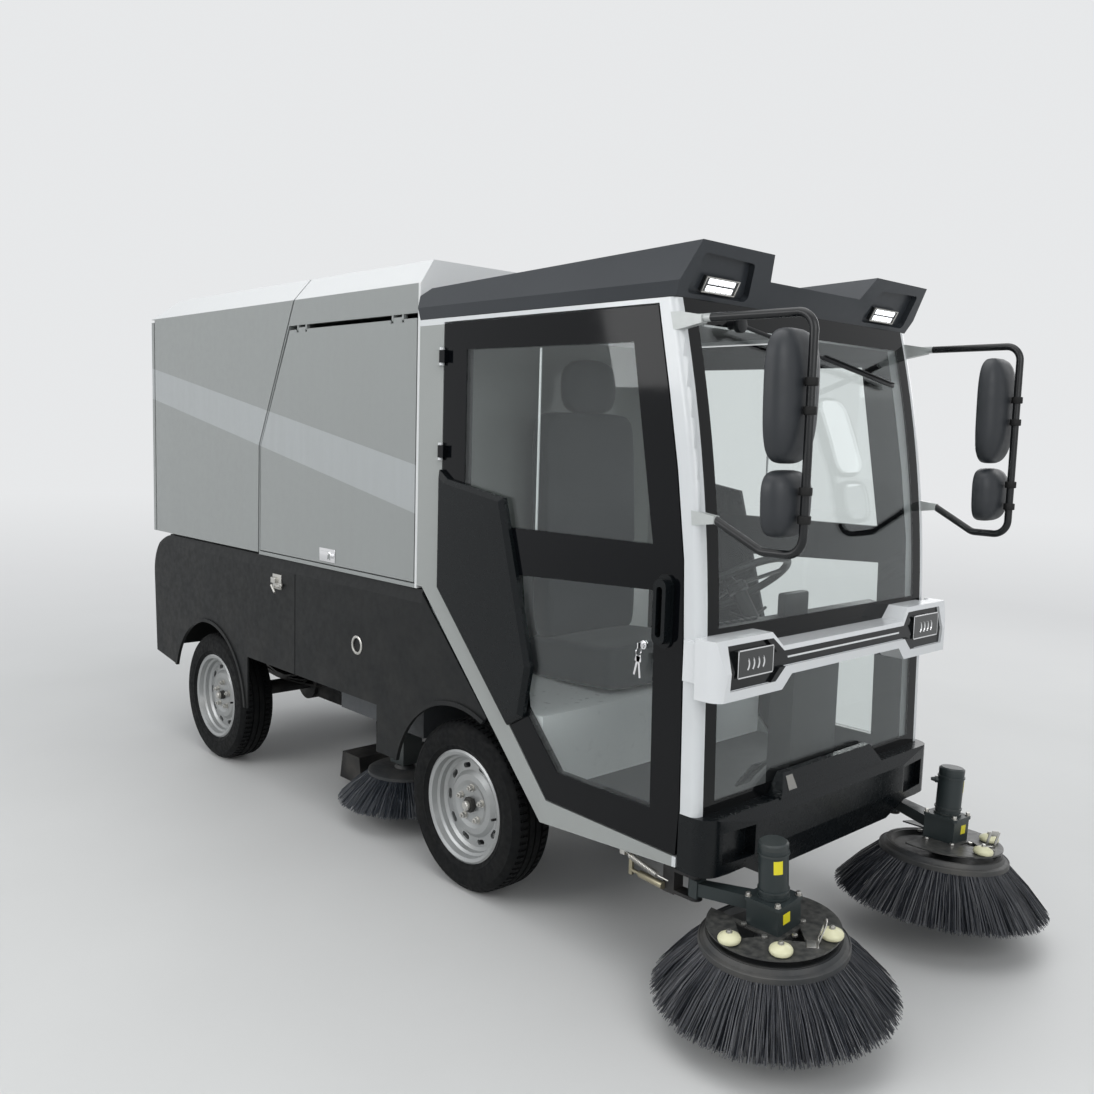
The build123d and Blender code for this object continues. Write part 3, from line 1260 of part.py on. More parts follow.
# Mid broom behind each front wheel, and the arms that hold the pair
mid_plane = Plane((MID_X, -MID_Y, MID_Z), x_dir=(1, 0, 0), z_dir=(0, 0, 1))
mid_disc = turned([(SPINDLE_R + RUNNING_FIT, -12), (SPINDLE_R + RUNNING_FIT, 18), (36, 18), (46, 4),
                   (MID_DISC_R, 4), (MID_DISC_R, -12)], mid_plane)
mid_tufts = tufts(mid_plane, MID_TUFTS, MID_DISC_R - 22, (40, 32), -12, MID_TIP_R - 18, (32, 62), -MID_DROP)
save_pair(merged(mid_disc, mid_tufts), "mid_broom")
with BuildPart() as mid_arm:
    add(block((MID_X - 45, MID_X + 45), (-MID_Y - 45, -MID_Y + 45), (MID_Z + 26, RAIL_BOTTOM + 20)))
    with BuildSketch(mid_plane.offset(-8)):
        Circle(SPINDLE_R)
    extrude(amount=60)
    add(block((MID_X - 20, MID_X + 20), (-MID_Y, -rail_outer), (RAIL_BOTTOM + 5, RAIL_BOTTOM + 55)))
save(both_sides(mid_arm.part), "mid_broom_arms")

# Suction nozzle and its duct up to the hopper floor
NOZZLE_X = -635
NOZZLE_HALF = 300
NOZZLE_CLEAR = 30
NOZZLE_TALL = 120
nozzle_body = across([(NOZZLE_X - 85, NOZZLE_CLEAR), (NOZZLE_X + 85, NOZZLE_CLEAR),
                      (NOZZLE_X + 65, NOZZLE_CLEAR + NOZZLE_TALL), (NOZZLE_X - 65, NOZZLE_CLEAR + NOZZLE_TALL)],
                     NOZZLE_HALF)
DUCT_R = 96
duct_knee = (PORT_X, 0, DECK_BOTTOM - 35)
duct_start = (NOZZLE_X, 0, NOZZLE_CLEAR + 90)
duct_plane = Plane(duct_start, z_dir=Vector(*duct_knee) - Vector(*duct_start))
with BuildPart() as duct:
    with BuildLine() as duct_route:
        Polyline(duct_start, duct_knee, (PORT_X, 0, CONTAINER_BOTTOM - 8))
    with BuildSketch(duct_plane):
        Circle(DUCT_R)
    sweep(path=duct_route.wires()[0], transition=Transition.RIGHT)
hanger = block((NOZZLE_X - 15, NOZZLE_X + 15), (-rail_outer, -rail_inner),
               (NOZZLE_CLEAR + NOZZLE_TALL, RAIL_BOTTOM))
save(merged(nozzle_body, duct.part, hanger, other_side(hanger)), "suction_nozzle")
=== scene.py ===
import bmesh
import bpy
from math import atan2, cos, pi, radians, sin, tau
from mathutils import Matrix, Vector
from random import Random


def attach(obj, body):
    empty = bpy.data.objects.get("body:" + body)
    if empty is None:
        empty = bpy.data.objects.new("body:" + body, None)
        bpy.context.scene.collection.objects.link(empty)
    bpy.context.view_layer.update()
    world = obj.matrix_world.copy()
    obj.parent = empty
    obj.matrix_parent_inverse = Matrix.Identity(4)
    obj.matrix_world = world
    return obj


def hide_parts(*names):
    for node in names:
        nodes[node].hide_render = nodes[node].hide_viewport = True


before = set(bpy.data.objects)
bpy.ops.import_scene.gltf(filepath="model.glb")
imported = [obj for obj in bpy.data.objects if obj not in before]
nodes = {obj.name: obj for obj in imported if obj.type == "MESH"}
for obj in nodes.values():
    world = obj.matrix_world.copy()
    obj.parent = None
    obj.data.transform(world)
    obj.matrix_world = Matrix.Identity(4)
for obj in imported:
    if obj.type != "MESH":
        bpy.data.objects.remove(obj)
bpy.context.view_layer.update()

# Places on the sweeper, in metres; each right-hand piece is made first, on the -y side
SIDES = (("right", -1), ("left", 1))
BODY_HALF = 0.592
CONTAINER_HALF = 0.587
SHOULDER_Z = 2.050
WHEEL_X = {"front": 0.470, "rear": -1.390}
TRACK_HALF = 0.489
WHEEL_R = 0.293
HUB_FACE = 0.030
ROOF_Z = 1.925
VISOR_ORIGIN = Vector((1.349, 0, ROOF_Z))
VISOR_UP = Vector((0.076, 0, 0.139)).normalized()
BROOM_PLACE = Vector((1.669, -0.465, 0.259))
BROOM_LEAN = radians(4.8)
MID_PLACE = Vector((-0.205, -0.315, 0.205))
MIRROR_X = 1.755
SEAT_BOX_TOP = 0.690
SEAT_Y = 0.020


class Wire:
    """A value between two nodes of a finish; arithmetic on it adds Math nodes."""

    def __init__(self, finish, socket):
        self.finish = finish
        self.socket = socket

    def maths(self, operation, *values):
        return self.finish.node("ShaderNodeMath", {"operation": operation}, dict(enumerate(values)))

    def __add__(self, other):
        return self.maths("ADD", self, other)

    def __sub__(self, other):
        return self.maths("SUBTRACT", self, other)

    def __mul__(self, other):
        return self.maths("MULTIPLY", self, other)

    def __gt__(self, other):
        return self.maths("GREATER_THAN", self, other)

    def __lt__(self, other):
        return self.maths("LESS_THAN", self, other)

    def __abs__(self):
        return self.maths("ABSOLUTE", self)

    def __or__(self, other):
        return self.maths("MAXIMUM", self, other)


class Finish:
    """One material, or the world, built from a few named patterns."""

    def __init__(self, name, kind=bpy.data.materials, output="ShaderNodeOutputMaterial"):
        self.made = kind.new(name)
        self.made.use_nodes = True
        self.tree = self.made.node_tree
        self.tree.nodes.clear()
        self.output = self.tree.nodes.new(output)
        self.place = self.node("ShaderNodeTexCoord", out="Object")

    def put(self, socket, value):
        """Links a wire to a socket, or sets the socket's own value."""
        if isinstance(value, Wire):
            self.tree.links.new(value.socket, socket)
            return
        kept = socket.default_value
        is_colour = hasattr(kept, "__len__") and len(kept) == 4 and len(value) == 3
        socket.default_value = (*value, 1) if is_colour else value

    def node(self, kind, settings=None, inputs=None, out=0):
        made = self.tree.nodes.new(kind)
        for name, value in (settings or {}).items():
            setattr(made, name, value)
        for key, value in (inputs or {}).items():
            self.put(made.inputs[key], value)
        return Wire(self, made.outputs[out])

    def axes(self, letters):
        return [self.node("ShaderNodeSeparateXYZ", inputs={0: self.place}, out=letter) for letter in letters]

    def noise(self, scale, detail=3, stretch=(1, 1, 1)):
        """Cloudy pattern, finer along an axis that is stretched more."""
        spread = self.node("ShaderNodeVectorMath", {"operation": "MULTIPLY"}, {0: self.place, 1: stretch})
        return self.node("ShaderNodeTexNoise", inputs={"Vector": spread, "Scale": scale, "Detail": detail})

    def span(self, value, low, high, to_low=0, to_high=1):
        """The value stretched from one range to another and held inside it."""
        return self.node("ShaderNodeMapRange", inputs={0: value, 1: low, 2: high, 3: to_low, 4: to_high})

    def mix(self, factor, low, high):
        return self.node("ShaderNodeMix", {"data_type": "RGBA"}, {0: factor, 6: low, 7: high}, out=2)

    def bump(self, height, strength, distance):
        return self.node("ShaderNodeBump",
                         inputs={"Height": height, "Strength": strength, "Distance": distance})

    def shader(self, base, roughness, **sockets):
        """Opaque surface; Gloss stands for its specular level."""
        inputs = {"Base Color": base, "Roughness": roughness}
        for name, value in sockets.items():
            inputs[name.replace("_", " ").replace("Gloss", "Specular IOR Level")] = value
        return self.node("ShaderNodeBsdfPrincipled", inputs=inputs)

    def blend(self, factor, first, second):
        return self.node("ShaderNodeMixShader", inputs={0: factor, 1: first, 2: second})

    def finish(self, shader):
        self.tree.links.new(shader.socket, self.output.inputs["Surface"])
        return self.made


def shade(colour, factor):
    return tuple(channel * factor for channel in colour)


def coated(made, base, roughness, grain=None, dust=0.0, **sockets):
    """Shader with cloudy gloss, fine grain of a depth and scale, and dust that gathers low down."""
    if dust:
        low = made.span(made.axes("Z")[0], 0.15, 1.1, 1, 0)
        dusty = low * made.span(made.noise(7, 6), 0.42, 0.78) * dust
        base = made.mix(dusty, base, (0.20, 0.185, 0.16))
    gloss = made.span(made.noise(38, 3), 0.3, 0.7, roughness * 0.88, min(1, roughness * 1.15))
    if grain:
        depth, scale = grain
        sockets["Normal"] = made.bump(made.noise(scale, 2), 1.0, depth)
    return made.shader(base, gloss, **sockets)


def plain(name, colour, roughness, spread=0.10, **coating):
    """A finish of one colour with slight cloudiness."""
    made = Finish(name)
    base = made.mix(made.noise(3.1, 4), shade(colour, 1 - spread), shade(colour, 1 + spread))
    return made.finish(coated(made, base, roughness, **coating))


# Edges of the container's slanting band: a point on each, as (x, z), and its fall per metre
BAND_TOP = ((-0.809, 1.612), 0.171)
BAND_BOTTOM = ((-0.913, 1.473), 0.180)


def body_paint():
    """Satin warm grey with a lighter slanting band, under a white top."""
    made = Finish("container paint")
    x, y, z = made.axes("XYZ")
    grey, band, white = (0.275, 0.29, 0.285), (0.375, 0.395, 0.40), (0.70, 0.71, 0.71)
    side_y, front_x = 0.575, 0.2125
    (top_x, top_z), top_fall = BAND_TOP
    (bottom_x, bottom_z), bottom_fall = BAND_BOTTOM
    under_top = (z + (x - top_x) * top_fall) < top_z
    over_bottom = (z + (x - bottom_x) * bottom_fall) > bottom_z
    base = made.mix(under_top * over_bottom * (abs(y) > side_y), grey, band)
    streak = made.span(made.noise(5, 4, (6, 6, 0.6)), 0.35, 0.75, 0.0, 0.12)
    base = made.mix(streak, base, (0.24, 0.24, 0.23))
    base = made.mix((z > SHOULDER_Z + 0.001) | (x > front_x), base, white)
    flake = made.mix(made.noise(2400, 1), (0.9, 0.9, 0.9), (1.1, 1.1, 1.1))
    base = made.node("ShaderNodeMix", {"data_type": "RGBA", "blend_type": "MULTIPLY"},
                     {0: 1.0, 6: base, 7: flake}, out=2)
    return made.finish(coated(made, base, 0.40, (0.00003, 420), Coat_Weight=0.15, Coat_Roughness=0.2))


def cab_paint():
    """Gloss white pillars and header over a light grey rear post and sill."""
    made = Finish("cab paint")
    x, z = made.axes("XZ")
    post_front_x, header_z = 0.366, 1.905
    sill_front_x, sill_top_z = 1.418, 1.03
    post = (x < post_front_x) * (z < header_z)
    sill = (z < sill_top_z) * (x < sill_front_x)
    base = made.mix(post | sill, (0.67, 0.69, 0.70), (0.31, 0.325, 0.315))
    return made.finish(coated(made, base, 0.22, dust=0.25, Coat_Weight=0.5, Coat_Roughness=0.06))


def floor_paint():
    """White seat box over a dark studded mat."""
    made = Finish("cab floor")
    x, z = made.axes("XZ")
    mat_back_x, mat_top_z = 0.859, 0.455
    mat = (z < mat_top_z) * (x > mat_back_x)
    studs = made.node("ShaderNodeTexVoronoi",
                      inputs={"Vector": made.place, "Scale": 70, "Randomness": 0.0})
    rubber = made.mix(made.noise(30, 4), (0.05, 0.052, 0.055), (0.10, 0.10, 0.10))
    mat_shader = made.shader(rubber, 0.6, Normal=made.bump(studs, 0.8, 0.0012))
    return made.finish(made.blend(mat, coated(made, (0.88, 0.89, 0.89), 0.3), mat_shader))


def roof_moulding():
    """Satin charcoal, with painted shade underneath: faces below the roof line are near black."""
    made = Finish("roof moulding")
    # painted shade: faces below the roof line get a near black colour
    under = made.axes("Z")[0] < ROOF_Z + 0.002
    base = made.mix(made.noise(2.4, 4), (0.027, 0.031, 0.036), (0.042, 0.047, 0.054))
    base = made.mix(under, base, (0.005, 0.0055, 0.006))
    return made.finish(coated(made, base, 0.34, Coat_Weight=0.12, Coat_Roughness=0.2, Gloss=0.3))


def mirror_mount():
    """Light cast brackets at the pillars, then black tube."""
    made = Finish("mirror mount")
    x, z = made.axes("XZ")
    upper_front_x, upper_z = 1.462, 1.80
    lower_front_x, lower_z, lower_half = 1.509, 1.354, 0.021
    upper = (z > upper_z) * (x < upper_front_x)
    lower = (abs(z - lower_z) < lower_half) * (x < lower_front_x)
    alloy = made.mix(made.noise(40, 3), (0.42, 0.44, 0.43), (0.52, 0.54, 0.53))
    cast = made.shader(alloy, 0.42, Metallic=0.3)
    tube = coated(made, (0.007, 0.008, 0.009), 0.30, Gloss=0.4)
    return made.finish(made.blend(upper | lower, tube, cast))


def clear_shader(made):
    """Clear sheet that lets light through and reflects more at a slant."""
    straight_gloss, slant_gloss = 0.035, 0.75
    slant = made.node("ShaderNodeLayerWeight", inputs={"Blend": 0.5}, out="Facing")
    clear = made.node("ShaderNodeBsdfTransparent", inputs={"Color": (0.945, 0.96, 0.955)})
    gloss = made.node("ShaderNodeBsdfGlossy", inputs={"Color": (0.93, 0.96, 0.97), "Roughness": 0.01})
    return made.blend(slant.maths("POWER", slant, 4) * slant_gloss + straight_gloss, clear, gloss)


def pane_glass():
    made = Finish("window glass")
    return made.finish(clear_shader(made))


def screen_glass():
    """Windscreen panes with a printed black border."""
    made = Finish("windscreen glass")
    y, z = made.axes("YZ")
    side_y, top_z, foot_z, bar_z, bar_half = 0.512, 1.862, 0.590, 0.98, 0.079
    border = (abs(y) > side_y) | (z > top_z) | (abs(z - bar_z) < bar_half) | (z < foot_z)
    black = made.shader((0.003, 0.0035, 0.004), 0.07, Gloss=0.2)
    return made.finish(made.blend(border, clear_shader(made), black))


def light_bar_paint():
    """White moulding with a sunk black face and a thin white line along it."""
    made = Finish("light bar")
    x, y, z = made.axes("XYZ")
    face_back_x, face_end_y, top_z, bottom_z = 1.53, 0.5612, 0.9915, 0.951
    narrow_y, wide_y, flare = 0.320, 0.362, 0.038
    line_z, line_half, line_end_y = 0.9715, 0.0024, 0.30
    width = abs(y)
    tall = made.span(width, narrow_y, wide_y)
    top = tall * flare + top_z
    bottom = tall * -flare + bottom_z
    face = (z < top) * (z > bottom) * (width < face_end_y) * (x > face_back_x)
    line = (abs(z - line_z) < line_half) * (width < line_end_y)
    face_colour = made.mix(line, (0.006, 0.007, 0.008), (0.75, 0.76, 0.76))
    black = coated(made, face_colour, 0.16, Gloss=0.35)
    white = coated(made, (0.72, 0.735, 0.745), 0.20, Coat_Weight=0.4, Coat_Roughness=0.06)
    return made.finish(made.blend(face, white, black))


def lamp_lens():
    """Dark lamp bodies in front, and red, amber and white tail lamps."""
    made = Finish("lamp bodies")
    x, z = made.axes("XZ")
    tail_x, amber_z, red_z = -1.9, 0.80, 0.85
    tail = x < tail_x
    colour = made.mix(z > amber_z, (0.65, 0.65, 0.62), (0.75, 0.24, 0.02))
    colour = made.mix(z > red_z, colour, (0.50, 0.012, 0.010))
    colour = made.mix(tail, (0.010, 0.012, 0.012), colour)
    ribs = made.node("ShaderNodeTexWave", {"bands_direction": "Z"}, {"Vector": made.place, "Scale": 60})
    return made.finish(made.shader(colour, 0.10, Coat_Weight=0.6, Normal=made.bump(ribs * tail, 0.5, 0.0006)))


def glowing(name, colour, strength):
    """Lit cells with a faint pattern of dots."""
    made = Finish(name)
    dots = made.node("ShaderNodeTexVoronoi", inputs={"Vector": made.place, "Scale": 220})
    base = made.mix(dots, colour, shade(colour, 0.8))
    return made.finish(made.shader(base, 0.2, Emission_Color=colour, Emission_Strength=strength))


def tyre_rubber():
    made = Finish("tyre rubber")
    dust = made.span(made.noise(14, 5), 0.42, 0.76, 0.0, 0.4)
    base = made.mix(dust, (0.0035, 0.004, 0.0045), (0.014, 0.0135, 0.012))
    gloss = made.span(made.noise(60, 3), 0.3, 0.7, 0.50, 0.78)
    grain = made.bump(made.noise(900, 2), 1.0, 0.0001)
    return made.finish(made.shader(base, gloss, Normal=grain, Gloss=0.14))


def bristle_plastic(name, dark, light):
    made = Finish(name)
    base = made.mix(made.span(made.noise(300, 2), 0.3, 0.7), dark, light)
    return made.finish(made.shader(base, 0.34, Gloss=0.55))


def woven_cover():
    made = Finish("seat cover")
    weave = made.noise(420, 2, (1, 1, 0.35))
    base = made.mix(weave * made.noise(6, 3), (0.024, 0.026, 0.030), (0.085, 0.09, 0.098))
    return made.finish(made.shader(base, 0.8, Normal=made.bump(weave, 0.7, 0.0007), Sheen_Weight=0.2))


def broom_arm_paint():
    """Dark motor and gearbox over a dull, dusty guard plate."""
    made = Finish("broom arm")
    x, y, z = made.axes("XYZ")
    out = abs(y) + BROOM_PLACE.y
    height = out * sin(BROOM_LEAN) + (z - BROOM_PLACE.z) * cos(BROOM_LEAN)
    round_x = x - BROOM_PLACE.x
    guard_top, guard_radius_squared = 0.0414, 0.033
    guard = (height < guard_top) * ((round_x * round_x + out * out) < guard_radius_squared)
    mottle = made.span(made.noise(55, 6), 0.35, 0.7)
    plate = made.mix(mottle, (0.030, 0.031, 0.031), (0.085, 0.084, 0.078))
    paint = made.mix(made.noise(3.1, 4), (0.022, 0.029, 0.030), (0.028, 0.037, 0.038))
    base = made.mix(guard, paint, plate)
    return made.finish(coated(made, base, 0.38, (0.0002, 260), Gloss=0.35))


finishes = {
    "paint": body_paint(),
    "cab": cab_paint(),
    "floor": floor_paint(),
    "white": plain("white paint", (0.70, 0.715, 0.72), 0.22, 0.03, Coat_Weight=0.4, Coat_Roughness=0.08),
    "roof": roof_moulding(),
    "bar": light_bar_paint(),
    "skirt": plain("charcoal skirt", (0.0085, 0.0095, 0.01), 0.50, grain=(0.0001, 520), dust=0.1, Gloss=0.22),
    "black_gloss": plain("black gloss", (0.0025, 0.003, 0.004), 0.06, Gloss=0.20),
    "cladding": plain("black moulding", (0.0045, 0.0060, 0.0070), 0.26, Gloss=0.22),
    "black_plastic": plain("black plastic", (0.006, 0.007, 0.008), 0.38, 0.12, grain=(0.00008, 900), dust=0.1,
                           Gloss=0.26),
    "mirror_shell": plain("mirror shell", (0.026, 0.029, 0.033), 0.45, 0.08, grain=(0.00012, 700), Gloss=0.4),
    "mirror_mount": mirror_mount(),
    "rubber": plain("black rubber", (0.007, 0.007, 0.007), 0.62, 0.15, grain=(0.00008, 500), dust=0.1,
                    Gloss=0.3),
    "frame_black": plain("black frame paint", (0.009, 0.009, 0.010), 0.36, 0.2, grain=(0.0001, 90), dust=0.35,
                         Gloss=0.35),
    "cast": plain("cast steel", (0.022, 0.022, 0.022), 0.6, 0.25, grain=(0.0004, 120), dust=0.4,
                  Metallic=0.3),
    "spring": plain("spring steel", (0.06, 0.058, 0.055), 0.5, 0.25, grain=(0.0002, 200), Metallic=0.6),
    "silver": plain("silver wheel paint", (0.36, 0.37, 0.37), 0.34, 0.06, grain=(0.00005, 700), dust=0.3,
                    Metallic=0.5),
    "zinc": plain("zinc plate", (0.56, 0.55, 0.52), 0.30, 0.12, grain=(0.00005, 400), Metallic=0.9),
    "dull_zinc": plain("dull zinc plate", (0.34, 0.31, 0.22), 0.38, 0.15, grain=(0.00005, 400), Metallic=0.8),
    "chrome": plain("chrome", (0.80, 0.80, 0.81), 0.08, 0.04, Metallic=1.0),
    "mirror": plain("mirror glass", (0.86, 0.87, 0.88), 0.02, 0.01, Metallic=1.0),
    "motor": plain("motor paint", (0.026, 0.034, 0.035), 0.36, grain=(0.0002, 260), dust=0.2, Gloss=0.4),
    "disc": plain("broom disc", (0.034, 0.036, 0.038), 0.50, 0.22, grain=(0.0001, 300), dust=0.4, Gloss=0.4),
    "broom_arm": broom_arm_paint(),
    "cream": plain("cream roller", (0.72, 0.70, 0.47), 0.32, 0.05),
    "yellow": plain("yellow patch", (0.80, 0.70, 0.02), 0.45, 0.04),
    "battery": plain("battery casing", (0.05, 0.055, 0.06), 0.5),
    "lamps": lamp_lens(),
    "led": glowing("led cells", (0.95, 0.97, 1.0), 1.6),
    "pane": pane_glass(),
    "screen": screen_glass(),
    "tyre": tyre_rubber(),
    "bristle": bristle_plastic("black bristle", (0.006, 0.0065, 0.008), (0.038, 0.043, 0.055)),
    "bristle_blue": bristle_plastic("blue grey bristle", (0.007, 0.009, 0.012), (0.040, 0.050, 0.066)),
    "cover": woven_cover(),
}

# Nodes of each finish, whole names first and then those that end in a side's name
NODE_FINISHES = {
    "battery": "battery_pack", "frame_black": "chassis_frame deck_frame suction_nozzle tip_barrel",
    "cast": "front_axle rear_axle", "spring": "leaf_springs", "floor": "cab_floor", "cab": "cab_frame",
    "roof": "cab_roof", "screen": "windscreen", "bar": "light_bar", "lamps": "lamps",
    "cladding": "front_bumper", "cover": "driver_seat", "black_plastic": "dashboard wiper steering_wheel",
    "paint": "container_front hopper_shell tailgate", "skirt": "side_skirts rear_apron",
    "mirror_mount": "mirror_arms", "mirror_shell": "mirror_heads", "motor": "mid_broom_arms",
    "chrome": "tip_rod",
}
PAIR_FINISHES = {
    "tyre": "tyre_front tyre_rear", "silver": "rim_front rim_rear", "cast": "knuckle",
    "black_gloss": "door_frame", "pane": "door_glass", "cladding": "door_cladding", "paint": "side_hatch",
    "disc": "broom_disc", "bristle": "broom_bristles", "broom_arm": "broom_arm", "cream": "broom_rollers",
    "bristle_blue": "mid_broom",
}
node_finish = {node: finish for finish, stems in NODE_FINISHES.items() for node in stems.split()}
for finish, stems in PAIR_FINISHES.items():
    for stem in stems.split():
        for side, _ in SIDES:
            node_finish[f"{stem}_{side}"] = finish
for name, part in nodes.items():
    part.data.materials.clear()
    part.data.materials.append(finishes[node_finish[name]])


TINY = 1e-6


def at(x, y, z):
    return Matrix.Translation((x, y, z))


def turned(angle, axis="Z"):
    return Matrix.Rotation(angle, 4, axis)


def axes_at(origin, x_dir, z_dir):
    """Matrix that stands a shape on a point, with its x and z along two directions."""
    z_axis = Vector(z_dir).normalized()
    x_axis = Vector(x_dir)
    x_axis = (x_axis - z_axis * x_axis.dot(z_axis)).normalized()
    y_axis = z_axis.cross(x_axis)
    turn = Matrix((x_axis, y_axis, z_axis)).transposed().to_4x4()
    return Matrix.Translation(origin) @ turn


def side_face(x, z, half=BODY_HALF):
    """Matrix that stands a shape on the right side, with its z pointing outwards."""
    return axes_at((x, -half, z), (1, 0, 0), (0, -1, 0))


def stood_along(start, end):
    """Matrix whose z runs from one point towards another."""
    run = Vector(end) - Vector(start)
    across = (0, 1, 0) if abs(run.normalized().y) < 0.9 else (1, 0, 0)
    return axes_at(start, across, run)


def all_of(bm):
    return bm.verts[:] + bm.edges[:] + bm.faces[:]


def edges_of(verts):
    """Edges at these points, each once and always in the same order."""
    return list(dict.fromkeys(edge for vert in verts for edge in vert.link_edges))


def verts_in(items):
    return [item for item in items if isinstance(item, bmesh.types.BMVert)]


def soften(bm, edges, width, segments=2):
    bmesh.ops.bevel(bm, geom=edges, offset=width, offset_type="OFFSET", segments=segments, profile=0.5,
                    affect="EDGES", material=-1)


def box_into(bm, size, place, matrix=Matrix(), bevel=0.0):
    """Block of a size about a place, with softened edges."""
    made = bmesh.ops.create_cube(bm, size=1)["verts"]
    bmesh.ops.scale(bm, vec=size, verts=made)
    bmesh.ops.translate(bm, vec=place, verts=made)
    bmesh.ops.transform(bm, matrix=matrix, verts=made)
    if bevel:
        soften(bm, edges_of(made), bevel)


def drum_into(bm, radius, length, matrix=Matrix(), start=0.0, segments=24, bevel=0.0, top_radius=None):
    """Round or many-sided bar along z, from a start height."""
    top = radius if top_radius is None else top_radius
    made = bmesh.ops.create_cone(bm, cap_ends=True, segments=segments, radius1=radius, radius2=top,
                                 depth=length)["verts"]
    bmesh.ops.translate(bm, vec=(0, 0, start + length / 2), verts=made)
    rims = [edge for edge in edges_of(made) if abs(edge.verts[0].co.z - edge.verts[1].co.z) < TINY]
    bmesh.ops.transform(bm, matrix=matrix, verts=made)
    if bevel:
        soften(bm, rims, bevel)


def bolt_into(bm, stand, washer_r, head_r, high):
    """Six-sided head on a washer."""
    drum_into(bm, washer_r, 0.002, stand, segments=20)
    drum_into(bm, head_r, high, stand, 0.002, segments=6, bevel=0.0008)


def lathe_into(bm, profile, matrix=Matrix(), steps=48, closed=True, angle=tau):
    """Profile of (radius, height) points turned about z; a part turn gets its ends closed."""
    before = set(bm.verts)
    points = [bm.verts.new((radius, 0, height)) for radius, height in profile]
    pairs = list(zip(points, points[1:])) + ([(points[-1], points[0])] if closed else [])
    edges = [bm.edges.new(pair) for pair in pairs]
    whole = abs(angle - tau) < TINY
    bmesh.ops.spin(bm, geom=points + edges, cent=(0, 0, 0), axis=(0, 0, 1), angle=angle, steps=steps,
                   use_merge=whole)
    if not closed:
        poles = [vert for vert in bm.verts if vert not in before and vert.co.xy.length < TINY]
        bmesh.ops.remove_doubles(bm, verts=poles, dist=TINY)
    made = [vert for vert in bm.verts if vert not in before]
    if not whole:
        ends = [edge for edge in edges_of(made) if edge.is_boundary]
        bmesh.ops.holes_fill(bm, edges=ends, sides=len(profile))
    bmesh.ops.transform(bm, matrix=matrix, verts=made)


def coil_into(bm, wire, radius, length, turns, matrix):
    """Helical spring along z."""
    steps = 14
    before = set(bm.verts)
    ring = bmesh.ops.create_circle(bm, segments=6, radius=wire, cap_ends=True)["verts"]
    bmesh.ops.rotate(bm, matrix=Matrix.Rotation(pi / 2, 3, "X"), verts=ring)
    bmesh.ops.translate(bm, vec=(radius, 0, 0), verts=ring)
    section = ring + edges_of(ring) + ring[0].link_faces[:]
    count = int(turns * steps)
    bmesh.ops.spin(bm, geom=section, cent=(0, 0, 0), axis=(0, 0, 1), dvec=(0, 0, length / count),
                   angle=tau * turns, steps=count)
    bmesh.ops.transform(bm, matrix=matrix, verts=[vert for vert in bm.verts if vert not in before])


def flat_ring_into(bm, points, width, thickness):
    """Thin band along the inside of an outline."""
    face = bm.faces.new([bm.verts.new(point) for point in points])
    ring = bmesh.ops.inset_region(bm, faces=[face], thickness=width, use_boundary=True,
                                  use_even_offset=True)["faces"]
    bmesh.ops.delete(bm, geom=[face], context="FACES_ONLY")
    bmesh.ops.solidify(bm, geom=ring, thickness=thickness)


def rounded_into(bm, size, place, matrix=Matrix(), outline=3.4, dome=2.6, back=1.0, taper=0.0):
    """Cube swollen into a smooth block, cut flat at its local -z end and narrower downwards along y."""
    cuts = 17
    block = bmesh.new()
    bmesh.ops.create_cube(block, size=2)
    bmesh.ops.subdivide_edges(block, edges=block.edges[:], cuts=cuts, use_grid_fill=True)
    for vert in block.verts:
        across, up, deep = vert.co
        flat = (abs(across) ** outline + abs(up) ** outline) ** (1 / outline)
        whole = (flat ** dome + abs(deep) ** dome) ** (1 / dome)
        across, up, deep = across / whole, up / whole, max(deep / whole, -back)
        across *= 1 - taper * (1 - up)
        deep = (deep + back) / (1 + back) - 0.5
        vert.co = (across * size[0] / 2, up * size[1] / 2, deep * size[2])
    bmesh.ops.translate(block, vec=place, verts=block.verts)
    bmesh.ops.transform(block, matrix=matrix, verts=block.verts)
    mesh = bpy.data.meshes.new("block")
    block.to_mesh(mesh)
    block.free()
    bm.from_mesh(mesh)
    bpy.data.meshes.remove(mesh)


def placed(name, data):
    """New object of the scene."""
    made = bpy.data.objects.new(name, data)
    bpy.context.scene.collection.objects.link(made)
    return made


def dress(name, bm, finish, body, replaced=(), smooth=35, mirror=False):
    """Makes the mesh a piece of the sweeper that rides on a body."""
    if mirror:
        bmesh.ops.scale(bm, vec=(1, -1, 1), verts=bm.verts)
    bmesh.ops.recalc_face_normals(bm, faces=bm.faces)
    mesh = bpy.data.meshes.new(name)
    bm.to_mesh(mesh)
    bm.free()
    if smooth:
        mesh.shade_smooth()
        mesh.set_sharp_from_angle(angle=radians(smooth))
    mesh.materials.append(finishes[finish])
    piece = placed(name, mesh)
    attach(piece, body)
    if replaced:
        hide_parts(*replaced)
    return piece


def named_after(build):
    """Each piece has its name from the function that shapes it."""
    return build.__name__.removesuffix("_into")


def single(build, finish, body="chassis", replaced=(), smooth=35):
    """A piece that is there once, or on both sides in one mesh."""
    bm = bmesh.new()
    build(bm)
    return dress(named_after(build), bm, finish, body, replaced, smooth)


def pair(build, finish, slot, body="chassis", replaced=None, smooth=35, stand=Matrix()):
    """A piece on each side; body and replaced node are stems that end in the side's name."""
    for side, sign in SIDES:
        bm = bmesh.new()
        build(bm)
        bmesh.ops.transform(bm, matrix=stand, verts=bm.verts)
        rides = body if body == "chassis" else f"{body}_{side}"
        hidden = (f"{replaced}_{side}",) if replaced else ()
        dress(f"{named_after(build)}_{side}", bm, finish, rides, hidden, smooth, sign > 0)


